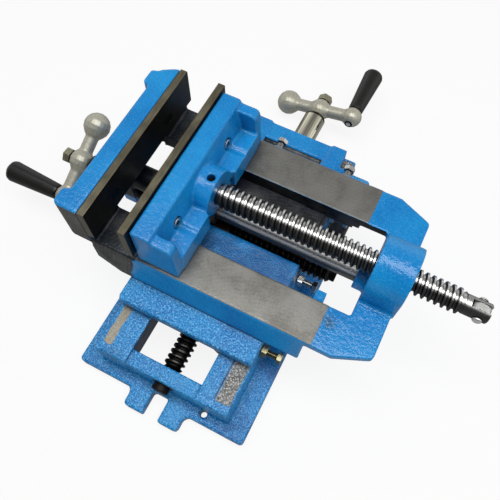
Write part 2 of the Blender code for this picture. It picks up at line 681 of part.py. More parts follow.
housing_foot = slab("housing_foot", "X", rounded([
    (-half_housing_foot, deck_low + 0.003, 0), (-half_housing_foot, housing_low, 0.007),
    (half_housing_foot, housing_low, 0.007), (half_housing_foot, deck_low + 0.003, 0),
], 4), HOUSING_START, housing_end - 0.002, body)
housing = slab("nut_housing", "X", housing_outline, HOUSING_START, housing_end, body)
rod_boss = rod("rod_boss", "X", (0, ROD_Z), ROD_BOSS_RADIUS, HOUSING_START - ROD_BOSS_LENGTH,
               HOUSING_START + 0.004, body)
lug = block("stop_lug", (STOP_LUG_START, -half_bed_window - 0.003, -STOP_LUG_DROP - STOP_LUG_HEIGHT),
            (STOP_LUG_START + STOP_LUG_LENGTH, -half_bed_window + STOP_LUG_REACH, -STOP_LUG_DROP), body)
bed_window = slab("bed_window", "Z", rounded([
    (BED_WINDOW_START, -half_bed_window, WINDOW_CORNER),
    (HOUSING_START, -half_bed_window, WINDOW_END_CORNER),
    (HOUSING_START, half_bed_window, WINDOW_END_CORNER), (BED_WINDOW_START, half_bed_window, WINDOW_CORNER),
], 5), wall_bottom - 0.010, FOOT_LIP_RISE + 0.001, body)
add(body_casting, foot_lip, fixed_block)
cut(body_casting, bed_window)
for side, label in ((-1, "front"), (1, "rear")):
    taper = slab("foot_taper_" + label, "Z", [
        (foot_back - 0.01, side * (half_foot - FOOT_TAPER - 0.0035)),
        (RAIL_START + FOOT_TAPER_LENGTH, side * (half_foot + 0.0005)),
        (foot_back - 0.01, side * (half_foot + 0.0005)),
    ], -BODY_HEIGHT - 0.005, -0.0035, body)
    cut(body_casting, taper)
screw_bore = rod("clamp_screw_bore", "X", (0, CLAMP_SCREW_Z), CLAMP_SCREW_DIAMETER / 2 + BORE_GAP,
                 HOUSING_START - 0.004, housing_end + 0.005, body, sides=40)
rod_hole_end = HOUSING_START + ROD_SEAT + SEAT_GAP
rod_bore = rod("guide_rod_bore", "X", (0, ROD_Z), ROD_DIAMETER / 2 + BORE_GAP, REAR_WALL_OUTER - 0.01,
               rod_hole_end, body)
x_bush_bore = rod("x_bush_bore", "X", (0, X_SCREW_Z), BUSH_DIAMETER / 2 + BORE_GAP, REAR_WALL_OUTER - 0.01,
                  rear_wall_inner + 0.01, body)
add(body_casting, rear_wall, rear_rod_boss, housing, housing_foot, rod_boss, lug)
cut(body_casting, screw_bore, rod_bore, x_bush_bore)
fixed_screw_hole = rod("fixed_screw_hole", "X", (-PLATE_SCREW_SPACING / 2, PLATE_SCREW_Z),
                       PLATE_SCREW_SHANK / 2 + BORE_GAP, FIXED_FACE - PLATE_SCREW_GRIP - SEAT_GAP,
                       FIXED_FACE + 0.003, body, sides=16)
repeat(fixed_screw_hole, 2, (0, PLATE_SCREW_SPACING, 0))
cut(body_casting, fixed_screw_hole)

# Upper gib, its screws through the rear rail, and their nuts
x_gib_low = -BODY_HEIGHT + 0.0008
x_gib_top = bed_under - 0.0006
x_gib_back = HALF_UPPER - SLIDE_GAP + LEAN * (x_gib_low + BODY_HEIGHT)
x_gib_start = RAIL_START + 0.006
x_gib = slab("x_gib", "X", gib_section(x_gib_back, x_gib_low, x_gib_top, 1), x_gib_start,
             x_gib_start + UPPER_GIB_LENGTH, body, IRON)
x_tip = HALF_UPPER + LEAN * (BODY_HEIGHT + X_GIB_SCREW_Z + GIB_SCREW_DIAMETER / 2) + SEAT_GAP
flare = (half_foot - half_bed) / BODY_HEIGHT
nut_seat = half_bed - flare * X_GIB_SCREW_Z
nut_low_edge = half_bed - flare * (X_GIB_SCREW_Z - GIB_NUT_WIDTH / 2) + SEAT_GAP
rail_bore = rod("x_gib_bore", "Y", (X_GIB_SCREW_FIRST, X_GIB_SCREW_Z), GIB_SCREW_DIAMETER / 2 + BORE_GAP,
                HALF_UPPER - 0.002, half_foot + 0.01, body, sides=16)
repeat(rail_bore, GIB_SCREW_COUNT, (X_GIB_SCREW_PITCH, 0, 0))
cut(body_casting, rail_bore)
x_head_end = nut_seat + GIB_SCREW_PROUD - 0.0015
for k in range(GIB_SCREW_COUNT):
    spot = (X_GIB_SCREW_FIRST + k * X_GIB_SCREW_PITCH, X_GIB_SCREW_Z)
    screw = rod("x_gib_screw_%d" % (k + 1), "Y", spot, GIB_SCREW_DIAMETER / 2, x_tip, x_head_end - 0.001,
                body, ZINC,
                sides=16)
    head = rod("x_gib_head", "Y", spot, head_radius, x_head_end - GIB_HEAD_HEIGHT, x_head_end, body, sides=6)
    add(screw, head)
    nut_hole = rod("x_gib_nut_bore", "Y", spot, GIB_SCREW_DIAMETER / 2 + BORE_GAP, nut_seat - 0.004,
                   nut_low_edge + GIB_NUT_HEIGHT + 0.005, body, sides=16)
    nut = rod("x_gib_nut_%d" % (k + 1), "Y", spot, GIB_NUT_WIDTH / 2 / math.cos(math.pi / 6), nut_low_edge,
              nut_low_edge + GIB_NUT_HEIGHT, body, ZINC, sides=6)
    cut(nut, nut_hole)

# Guide rod
guide_rod = rod("guide_rod", "X", (0, ROD_Z), ROD_DIAMETER / 2, REAR_WALL_OUTER + 0.001,
                HOUSING_START + ROD_SEAT, body, STEEL)


def jaw_plate(name, inner, outer, top, parent):
    plate = slab(name, "Y", rounded([
        (inner, PLATE_BOTTOM, 0.0006), (outer, PLATE_BOTTOM, 0.0006), (outer, top, 0.0006),
        (inner, top, 0.0006),
    ], 2), -half_jaw, half_jaw, parent, MACHINED)
    return plate


def plate_screw_profile(head, shank_length):
    r = PLATE_SCREW_HEAD / 2 - BORE_GAP
    s = PLATE_SCREW_SHANK / 2
    return [(0, 0), (r - 0.0004, 0), (r, -0.0004), (r, -head), (s, -head), (s, -head - shank_length),
            (0, -head - shank_length)]


# Fixed jaw plate with two sunk screws
fixed_jaw_plate = jaw_plate("fixed_jaw_plate", -PLATE_THICKNESS, 0, FIXED_JAW_HEIGHT, body)
fixed_pocket = rod("fixed_screw_pocket", "X", (-PLATE_SCREW_SPACING / 2, PLATE_SCREW_Z),
                   PLATE_SCREW_HEAD / 2,
                   -PLATE_SCREW_HEAD_HEIGHT - 0.0006, 0.002, body, sides=24)
fixed_through = rod("fixed_screw_through", "X", (-PLATE_SCREW_SPACING / 2, PLATE_SCREW_Z),
                    PLATE_SCREW_SHANK / 2 + BORE_GAP, -PLATE_THICKNESS - 0.002, 0.001, body, sides=16)
repeat(fixed_pocket, 2, (0, PLATE_SCREW_SPACING, 0))
repeat(fixed_through, 2, (0, PLATE_SCREW_SPACING, 0))
cut(fixed_jaw_plate, fixed_pocket, fixed_through)
TO_X = Matrix.Rotation(math.pi / 2, 3, "Y")
fixed_shank = PLATE_THICKNESS - PLATE_SCREW_HEAD_HEIGHT + PLATE_SCREW_GRIP
for side, label in ((-1, "front"), (1, "rear")):
    turned("fixed_plate_screw_" + label, plate_screw_profile(PLATE_SCREW_HEAD_HEIGHT, fixed_shank), body,
           STEEL, 20,
           rotation=TO_X, location=(-SEAT_GAP, side * PLATE_SCREW_SPACING / 2, PLATE_SCREW_Z))

# Moving jaw, in its own frame: x is 0 on the casting's front face
half_moving = MOVING_JAW_WIDTH / 2
floor_z = SLIDE_GAP
back_top = MOVING_JAW_TOP
back_low = MOVING_JAW_TOP + MOVING_JAW_DRAFT
moving_jaw_casting = slab("moving_jaw_casting", "Y", rounded([
    (0, floor_z, 0), (back_low, floor_z, 0), (back_low, PAD_HEIGHT, 0),
    (back_top, MOVING_JAW_HEIGHT, 0.0025),
    (0, MOVING_JAW_HEIGHT, 0.001),
], 3), -half_moving, half_moving, jaw, BLUE)
for side, label in ((-1, "front"), (1, "rear")):
    span = sorted((side * half_moving, side * (half_moving - MOVING_RIB_WIDTH)))
    rib = slab("jaw_rib_" + label, "Y", rounded([
        (0.004, floor_z, 0), (MOVING_FOOT_REACH, floor_z, 0), (MOVING_RIB_REACH, MOVING_RIB_TOP, 0.0055),
        (0.004, MOVING_RIB_TOP, 0),
    ], 5), span[0], span[1], jaw)
    span = sorted((side * PAD_INNER, side * (half_moving - MOVING_RIB_WIDTH + 0.001)))
    pad = block("jaw_pad_" + label, (0.010, span[0], floor_z), (PAD_REACH, span[1], PAD_HEIGHT), jaw)
    add(moving_jaw_casting, rib, pad)
tail_half = half_bed_window - TAIL_SIDE_GAP
tail = block("jaw_tail", (0.0013, -tail_half, -TAIL_DEPTH), (TAIL_REACH, tail_half, floor_z + 0.004), jaw)
lug_block = slab("rod_lug", "X", rounded([
    (-ROD_LUG_RADIUS, -TAIL_DEPTH + 0.004, 0), (-ROD_LUG_RADIUS, ROD_Z - ROD_LUG_RADIUS, 0.007),
    (ROD_LUG_RADIUS, ROD_Z - ROD_LUG_RADIUS, 0.007), (ROD_LUG_RADIUS, -TAIL_DEPTH + 0.004, 0),
], 5), 0.0013, TAIL_REACH, jaw)
jaw_boss = rod("jaw_boss", "X", (0, CLAMP_SCREW_Z), JAW_BOSS_RADIUS, 0.008, JAW_BOSS_REACH, jaw, sides=40)
add(moving_jaw_casting, tail, lug_block, jaw_boss)
nose_start = JAW_BOSS_REACH - CLAMP_NOSE_LENGTH
nose_bore = rod("nose_bore", "X", (0, CLAMP_SCREW_Z), CLAMP_NOSE_DIAMETER / 2 + BORE_GAP,
                nose_start - SEAT_GAP,
                JAW_BOSS_REACH + 0.01, jaw, sides=40)
jaw_rod_bore = rod("jaw_rod_bore", "X", (0, ROD_Z), ROD_DIAMETER / 2 + BORE_GAP, -0.005, TAIL_REACH + 0.005,
                   jaw)
grub_top = CLAMP_SCREW_Z + JAW_BOSS_RADIUS
grub_tip = CLAMP_SCREW_Z + CLAMP_NOSE_DIAMETER / 2 - CLAMP_NOSE_GROOVE + BORE_GAP
grub_hole = rod("grub_hole", "Z", (GRUB_REACH, 0), GRUB_DIAMETER / 2 + BORE_GAP, CLAMP_SCREW_Z,
                grub_top + 0.004,
                jaw, sides=16)
moving_hole = rod("moving_screw_hole", "X", (-PLATE_SCREW_SPACING / 2, PLATE_SCREW_Z),
                  PLATE_SCREW_SHANK / 2 + BORE_GAP, -0.004, back_low + 0.005, jaw, sides=16)
moving_pocket = rod("moving_screw_pocket", "X", (-PLATE_SCREW_SPACING / 2, PLATE_SCREW_Z),
                    PLATE_SCREW_HEAD / 2, back_low - 0.005, MOVING_FOOT_REACH + 0.005, jaw, sides=24)
repeat(moving_hole, 2, (0, PLATE_SCREW_SPACING, 0))
repeat(moving_pocket, 2, (0, PLATE_SCREW_SPACING, 0))
cut(moving_jaw_casting, nose_bore, jaw_rod_bore, grub_hole, moving_hole, moving_pocket)
moving_jaw_plate = jaw_plate("moving_jaw_plate", -SEAT_GAP - PLATE_THICKNESS, -SEAT_GAP, MOVING_PLATE_TOP,
                             jaw)
plate_tap = rod("moving_plate_tap", "X", (-PLATE_SCREW_SPACING / 2, PLATE_SCREW_Z),
                PLATE_SCREW_SHANK / 2 + BORE_GAP, -SEAT_GAP - PLATE_THICKNESS + 0.0012, 0.002, jaw, sides=16)
repeat(plate_tap, 2, (0, PLATE_SCREW_SPACING, 0))
cut(moving_jaw_plate, plate_tap)
moving_head_seat = back_low - 0.005 + SEAT_GAP
moving_shank = moving_head_seat + SEAT_GAP + PLATE_THICKNESS - 0.0016
for side, label in ((-1, "front"), (1, "rear")):
    turned("moving_plate_screw_" + label, plate_screw_profile(PLATE_SCREW_HEAD_HEIGHT, moving_shank), jaw,
           OXIDE,
           20, rotation=TO_X,
           location=(moving_head_seat + PLATE_SCREW_HEAD_HEIGHT, side * PLATE_SCREW_SPACING / 2,
                                        PLATE_SCREW_Z))
grub_screw = rod("nose_grub_screw", "Z", (GRUB_REACH, 0), GRUB_DIAMETER / 2, grub_tip,
                 grub_tip + GRUB_LENGTH, jaw,
                 OXIDE, sides=16)

# Clamp screw, turned about its own axis
clamp = frame("clamp_screw_frame", (0, 0, CLAMP_SCREW_Z), jaw, TO_X)
thread_start = JAW_BOSS_REACH + SEAT_GAP
thread_end = CLAMP_THREAD_END - MOVING_X
screw_end = CLAMP_SCREW_END - MOVING_X
nose = CLAMP_NOSE_DIAMETER / 2
thread = CLAMP_SCREW_DIAMETER / 2
neck = CLAMP_NECK_DIAMETER / 2
groove = nose - CLAMP_NOSE_GROOVE
groove_half_width = GRUB_DIAMETER / 2 + SEAT_GAP
clamp_screw = turned("clamp_screw", [
    (0, screw_end), (neck - 0.001, screw_end), (neck, screw_end - 0.001), (neck, thread_end),
    (thread - 0.001, thread_end), (thread, thread_end - 0.001), (thread, thread_start), (nose, thread_start),
    (nose, GRUB_REACH + groove_half_width), (groove, GRUB_REACH + groove_half_width),
    (groove, GRUB_REACH - groove_half_width), (nose, GRUB_REACH - groove_half_width),
    (nose, nose_start + 0.001), (nose - 0.001, nose_start), (0, nose_start),
], clamp, STEEL, 40)
slot_root = screw_end - SLOT_DEPTH
pin_z = screw_end - PIN_INSET
slot = block("clamp_slot_cut", (-0.02, -SLOT_WIDTH / 2, slot_root),
             (0.02, SLOT_WIDTH / 2, screw_end + 0.01), clamp)
pin_hole = rod("clamp_pin_hole", "Y", (0, pin_z), PIN_DIAMETER / 2 + BORE_GAP, -0.02, 0.02, clamp, sides=20)
cut(clamp_screw, slot, pin_hole)
swivel = frame("swivel_frame", (0, 0, pin_z), clamp)
pin_half = neck + SEAT_GAP
head = PIN_HEAD_DIAMETER / 2
shank = PIN_DIAMETER / 2
dome = [(head * math.cos(a), pin_half + PIN_HEAD_HEIGHT * math.sin(a)) for a in
        (math.radians(d) for d in (90, 68, 45, 22, 0))]
pin_profile = [(max(r, 0.0), z) for r, z in dome]
pin_profile[0] = (0.0, pin_half + PIN_HEAD_HEIGHT)
pin_profile += [(shank, pin_half), (shank, -pin_half)]
pin_profile += [(r, -z) for r, z in reversed(pin_profile[:5])]
swivel_pin = turned("swivel_pin", pin_profile, swivel, STEEL, 20,
                    rotation=Matrix.Rotation(-math.pi / 2, 3, "X"))
tongue_half = neck - 0.0006
tongue_root = -(SLOT_DEPTH - PIN_INSET) + 0.0016
tongue_outline = []
for k in range(13):
    angle = -math.pi / 2 + math.pi * k / 12
    tongue_outline.append((tongue_half * math.sin(angle), TONGUE_LENGTH * math.cos(angle)))
tongue_outline += [(tongue_half, -0.002), (tongue_half * 0.6, tongue_root),
                   (-tongue_half * 0.6, tongue_root),
                   (-tongue_half, -0.002)]
handle_tongue = slab("handle_tongue", "Y", tongue_outline, -SLOT_WIDTH / 2 + SLIDE_GAP,
                     SLOT_WIDTH / 2 - SLIDE_GAP,
                     swivel, STEEL)
tongue_hole = rod("tongue_hole", "Y", (0, 0), PIN_DIAMETER / 2 + BORE_GAP, -0.02, 0.02, swivel, sides=20)
cut(handle_tongue, tongue_hole)


# Feed drives: each turns about its local Z, which points out of the wall that carries it
def crank_profile():
    """Grip ball, waist, hub, waist and counterweight ball along the arm, outer end first."""
    stations = []
    top = CRANK_RADIUS + GRIP_BALL_RADIUS
    low = -CRANK_RADIUS - BIG_BALL_RADIUS
    marks = set()
    for centre, radius in ((CRANK_RADIUS, GRIP_BALL_RADIUS), (0.0, HUB_RADIUS),
                           (-CRANK_RADIUS, BIG_BALL_RADIUS)):
        for k in range(9):
            marks.add(round(centre + radius * math.cos(math.pi * k / 8), 6))
    for s in sorted(marks, reverse=True):
        r = ARM_WAIST
        for centre, radius in ((CRANK_RADIUS, GRIP_BALL_RADIUS), (0.0, HUB_RADIUS),
                               (-CRANK_RADIUS, BIG_BALL_RADIUS)):
            inside = radius * radius - (s - centre) ** 2
            if inside > 0:
                r = max(r, math.sqrt(inside))
        if s > CRANK_RADIUS or s < -CRANK_RADIUS:
            centre, radius = (CRANK_RADIUS, GRIP_BALL_RADIUS) if s > 0 else (-CRANK_RADIUS, BIG_BALL_RADIUS)
            r = math.sqrt(max(0.0, radius * radius - (s - centre) ** 2))
        stations.append((r, s))
    stations[0] = (0.0, top)
    stations[-1] = (0.0, low)
    return stations


def feed_drive(prefix, parent, diameter, wall, thread_length, front_journal):
    """Lead screw, collar, crank, nut, spindle and grip; z is 0 on the bearing wall's outer face."""
    bore = JOURNAL_DIAMETER / 2
    thread_r = diameter / 2
    stud = CRANK_STUD_DIAMETER / 2
    thread_top = -wall - SEAT_GAP
    thread_low = thread_top - thread_length
    hub_back = HUB_DISTANCE - HUB_RADIUS * 0.86
    hub_front = HUB_DISTANCE + HUB_RADIUS * 0.86
    nut_low = hub_front + SEAT_GAP
    stud_end = nut_low + CRANK_NUT_HEIGHT + STUD_PROUD
    low_end = thread_low - front_journal
    low_r = FRONT_JOURNAL_DIAMETER / 2 if front_journal > THREAD_SHOULDER else bore * 0.8
    turned(prefix + "_lead_screw", [
        (0, stud_end), (stud - 0.0006, stud_end), (stud, stud_end - 0.0006), (stud, hub_back),
        (bore, hub_back),
        (bore, thread_top), (thread_r, thread_top), (thread_r, thread_low), (low_r, thread_low),
        (low_r, low_end + 0.001), (low_r - 0.001, low_end), (0, low_end),
    ], parent, OXIDE, 32)
    ring(prefix + "_thrust_collar", COLLAR_DIAMETER / 2, bore + BORE_GAP, SEAT_GAP, hub_back - COLLAR_SPACE,
         parent,
         CHROME)
    arm = turned(prefix + "_crank_arm", crank_profile(), parent, SILVER, 20,
                 rotation=Matrix.Rotation(math.pi / 2, 3, "Y"), location=(0, 0, HUB_DISTANCE))
    faces = []
    for edge, sign in ((hub_back, -1), (hub_front, 1)):
        span = sorted((edge, edge + sign * 0.02))
        faces.append(block(prefix + "_hub_face", (-HUB_RADIUS, -HUB_RADIUS, span[0]),
                           (HUB_RADIUS, HUB_RADIUS, span[1]), parent))
    shaft_hole = rod(prefix + "_hub_bore", "Z", (0, 0), stud + BORE_GAP, hub_back - 0.005,
                     hub_front + 0.005, parent,
                     sides=20)
    ball_face = HUB_DISTANCE + GRIP_BALL_RADIUS * 0.8
    spindle_hole = rod(prefix + "_spindle_bore", "Z", (CRANK_RADIUS, 0), SPINDLE_DIAMETER / 2 + BORE_GAP,
                       HUB_DISTANCE - 0.004, ball_face + 0.010, parent, sides=16)
    around = GRIP_BALL_RADIUS + 0.002
    face_cut = block(prefix + "_ball_face", (CRANK_RADIUS - around, -around, ball_face),
                     (CRANK_RADIUS + around, around, ball_face + around), parent)
    cut(arm, *faces, shaft_hole, face_cut, spindle_hole)
    nut_bore = rod(prefix + "_nut_bore", "Z", (0, 0), stud + BORE_GAP, nut_low - 0.005, stud_end + 0.005,
                   parent,
                   sides=20)
    nut = rod(prefix + "_crank_nut", "Z", (0, 0), CRANK_NUT_WIDTH / 2 / math.cos(math.pi / 6), nut_low,
              nut_low + CRANK_NUT_HEIGHT, parent, ZINC, sides=6)
    cut(nut, nut_bore)
    grip_low = ball_face + SEAT_GAP
    grip_top = grip_low + GRIP_LENGTH
    spindle_top = grip_top + SEAT_GAP + SPINDLE_HEAD
    s = SPINDLE_DIAMETER / 2
    h = SPINDLE_HEAD_DIAMETER / 2
    turned(prefix + "_grip_spindle", [
        (0, spindle_top), (h * 0.6, spindle_top - 0.0003), (h, spindle_top - 0.0012),
        (h, grip_top + SEAT_GAP),
        (s, grip_top + SEAT_GAP), (s, HUB_DISTANCE - 0.004 + SEAT_GAP), (0, HUB_DISTANCE - 0.004 + SEAT_GAP),
    ], parent, STEEL, 20, location=(CRANK_RADIUS, 0, 0))
    spin = frame(prefix + "_grip_frame", (CRANK_RADIUS, 0, 0), parent)
    inner = s + BORE_GAP
    a = GRIP_INNER_DIAMETER / 2
    b = GRIP_OUTER_DIAMETER / 2
    outer_side = []
    for k in range(11):
        t = k / 10
        swell = b + (a - b) * t
        outer_side.append((swell, grip_top - 0.004 - (GRIP_LENGTH - 0.006) * t))
    crown = [(inner, grip_top), (b * 0.70, grip_top - 0.0003), (b * 0.92, grip_top - 0.0018)]
    foot = [(a * 0.93, grip_low), (inner, grip_low)]
    turned(prefix + "_grip", crown + outer_side + foot, spin, PLASTIC, 28, closed=True)


grip_side = Vector((math.cos(Y_CRANK_TILT), 0, math.sin(Y_CRANK_TILT)))
outward = Vector((0, 1, 0))
y_turn = Matrix((grip_side, outward.cross(grip_side), outward)).transposed()
y_drive = frame("y_screw_frame", (0, rear_face, Y_SCREW_Z), base, y_turn)
grip_side = Vector((0, -math.cos(X_CRANK_TILT), -math.sin(X_CRANK_TILT)))
outward = Vector((-1, 0, 0))
x_turn = Matrix((grip_side, outward.cross(grip_side), outward)).transposed()
x_drive = frame("x_screw_frame", (REAR_WALL_OUTER, 0, X_SCREW_Z), body, x_turn)
y_wall = END_WALL + REAR_BOSS_REACH + 0.001
y_thread = WAY_LENGTH - 0.002 - 2 * END_WALL - 2 * SEAT_GAP
feed_drive("y", y_drive, Y_FEED_SCREW_DIAMETER, y_wall, y_thread, END_WALL + FRONT_JOURNAL_REACH)
feed_drive("x", x_drive, X_FEED_SCREW_DIAMETER, REAR_WALL_THICKNESS, X_THREAD_LENGTH, THREAD_SHOULDER)

# Bushes in the walls that carry the lead screws
ring("y_rear_bush", BUSH_DIAMETER / 2, JOURNAL_DIAMETER / 2 + BORE_GAP, -y_wall, 0, y_drive, BRONZE, 28)
front_low = -y_wall - y_thread - 2 * SEAT_GAP - END_WALL
ring("y_front_bush", FRONT_BUSH_DIAMETER / 2, FRONT_JOURNAL_DIAMETER / 2 + BORE_GAP, front_low,
     front_low + END_WALL, y_drive, BRONZE, 28)
ring("x_screw_bush", BUSH_DIAMETER / 2, JOURNAL_DIAMETER / 2 + BORE_GAP, -REAR_WALL_THICKNESS, 0, x_drive,
     BRONZE,
     28)

# Feed nuts, carried by the saddle
nut_half = FEED_NUT_LENGTH / 2
x_axis_height = BED_TOP - WAY_HEIGHT + X_SCREW_Z
feed_r = X_FEED_SCREW_DIAMETER / 2 + BORE_GAP
x_nut_half = half_channel - SEAT_GAP
x_nut_reach = X_NUT_LENGTH / 2
x_feed_nut = slab("x_feed_nut", "X", rounded([
    (-x_nut_half, -CHANNEL_FLOOR + SEAT_GAP, 0), (x_nut_half, -CHANNEL_FLOOR + SEAT_GAP, 0),
    (x_nut_half, x_axis_height + feed_r + FEED_NUT_WALL, 0.004),
    (-x_nut_half, x_axis_height + feed_r + FEED_NUT_WALL, 0.004),
], 3), X_NUT_PLACE - x_nut_reach, X_NUT_PLACE + x_nut_reach, saddle, BRONZE)
x_nut_bore = rod("x_nut_bore", "X", (0, x_axis_height), feed_r, X_NUT_PLACE - x_nut_reach - 0.005,
                 X_NUT_PLACE + x_nut_reach + 0.005, saddle)
cut(x_feed_nut, x_nut_bore)
y_axis_height = Y_SCREW_Z - WAY_HEIGHT
y_nut_side = Y_FEED_SCREW_DIAMETER / 2 + Y_NUT_SIDE
y_feed_r = Y_FEED_SCREW_DIAMETER / 2 + BORE_GAP
y_nut_top = -LOWER_DOVETAIL_HEIGHT - SEAT_GAP
y_feed_nut = slab("y_feed_nut", "Y", rounded([
    (-y_nut_side, y_nut_top, 0), (-y_nut_side, y_axis_height - y_feed_r - FEED_NUT_WALL, 0.004),
    (y_nut_side, y_axis_height - y_feed_r - FEED_NUT_WALL, 0.004), (y_nut_side, y_nut_top, 0),
], 3), -nut_half, nut_half, saddle, BRONZE)
y_nut_bore = rod("y_nut_bore", "Y", (0, y_axis_height), y_feed_r, -nut_half - 0.005, nut_half + 0.005,
                 saddle)
cut(y_feed_nut, y_nut_bore)
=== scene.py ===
import math

import bmesh
import bpy
from mathutils import Matrix, Vector


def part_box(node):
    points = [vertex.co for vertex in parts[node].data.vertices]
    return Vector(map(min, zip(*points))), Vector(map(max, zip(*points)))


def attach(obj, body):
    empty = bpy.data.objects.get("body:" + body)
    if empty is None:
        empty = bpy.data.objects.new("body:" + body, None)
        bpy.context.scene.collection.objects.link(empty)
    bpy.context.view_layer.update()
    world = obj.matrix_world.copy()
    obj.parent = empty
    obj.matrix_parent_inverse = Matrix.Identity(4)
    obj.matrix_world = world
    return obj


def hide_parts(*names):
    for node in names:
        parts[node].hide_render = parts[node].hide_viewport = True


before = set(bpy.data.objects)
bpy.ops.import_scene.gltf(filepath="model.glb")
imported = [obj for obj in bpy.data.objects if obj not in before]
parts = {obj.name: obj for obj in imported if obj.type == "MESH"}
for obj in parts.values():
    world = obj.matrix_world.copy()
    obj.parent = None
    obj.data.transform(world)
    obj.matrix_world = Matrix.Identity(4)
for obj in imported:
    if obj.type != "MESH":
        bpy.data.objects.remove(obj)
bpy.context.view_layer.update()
scene = bpy.context.scene

# Base casting
# The grey iron foot of the vise: a slotted flange with two upright ways on it, cast in sand.
# It is sprayed with blue enamel all over, and only the tops of the ways show milled iron.


def wire(tree, kind, settings=(), feeds=()):
    """A shader node; feeds are sockets or values for its inputs, by place or by name."""
    made = tree.nodes.new("ShaderNode" + kind)
    for key, value in dict(settings).items():
        setattr(made, key, value)
    for key, feed in feeds.items() if isinstance(feeds, dict) else enumerate(feeds):
        if isinstance(feed, bpy.types.NodeSocket):
            tree.links.new(feed, made.inputs[key])
        elif feed is not None:
            made.inputs[key].default_value = feed
    return made


def calc(tree, operation, *feeds):
    return wire(tree, "Math", {"operation": operation}, feeds).outputs[0]


def tint(tree, share, first, second):
    """The first colour with a share of the second one over it."""
    return wire(tree, "Mix", {"data_type": "RGBA"}, {0: share, 6: first, 7: second}).outputs[2]


def grain(tree, point, often, detail=2.0, rough=0.55, stretch=(1, 1, 1)):
    """Soft random spots, repeated so often in a metre; stretch squeezes them along an axis."""
    if stretch != (1, 1, 1):
        point = wire(tree, "VectorMath", {"operation": "MULTIPLY"}, (point, stretch)).outputs[0]
    feeds = {"Vector": point, "Scale": often, "Detail": detail, "Roughness": rough}
    return wire(tree, "TexNoise", {}, feeds).outputs[0]


def span(tree, value, low, high, to_low=0.0, to_high=1.0):
    """Turns a value from low to high into one from to_low to to_high, and no further."""
    return wire(tree, "MapRange", {"clamp": True}, (value, low, high, to_low, to_high)).outputs[0]


def screen(red, green, blue):
    """A colour as it looks on a screen, 0 to 255, as the shader's own numbers."""
    levels = (level / 255 for level in (red, green, blue))
    return tuple(c / 12.92 if c < 0.04045 else ((c + 0.055) / 1.055) ** 2.4 for c in levels) + (1,)


def inside(tree, point, low, high):
    """1 within a box of the object's space and 0 outside it."""
    across = wire(tree, "SeparateXYZ", {}, (point,)).outputs
    share = None
    for axis in range(3):
        middle, half = (low[axis] + high[axis]) / 2, abs(high[axis] - low[axis]) / 2
        within = calc(tree, "COMPARE", across[axis], middle, half)
        share = within if share is None else calc(tree, "MULTIPLY", share, within)
    return share


def bare_or_shade(low, high, shade, coarse=0.1, ragged=(0, 0, 0)):
    """A place without blue enamel, milled iron, a dark joint, or a patch of painted shade: its corners, its
    colour, how coarse its iron is, and how far its outline wanders along x, y and z."""
    return low, high, shade, coarse, ragged


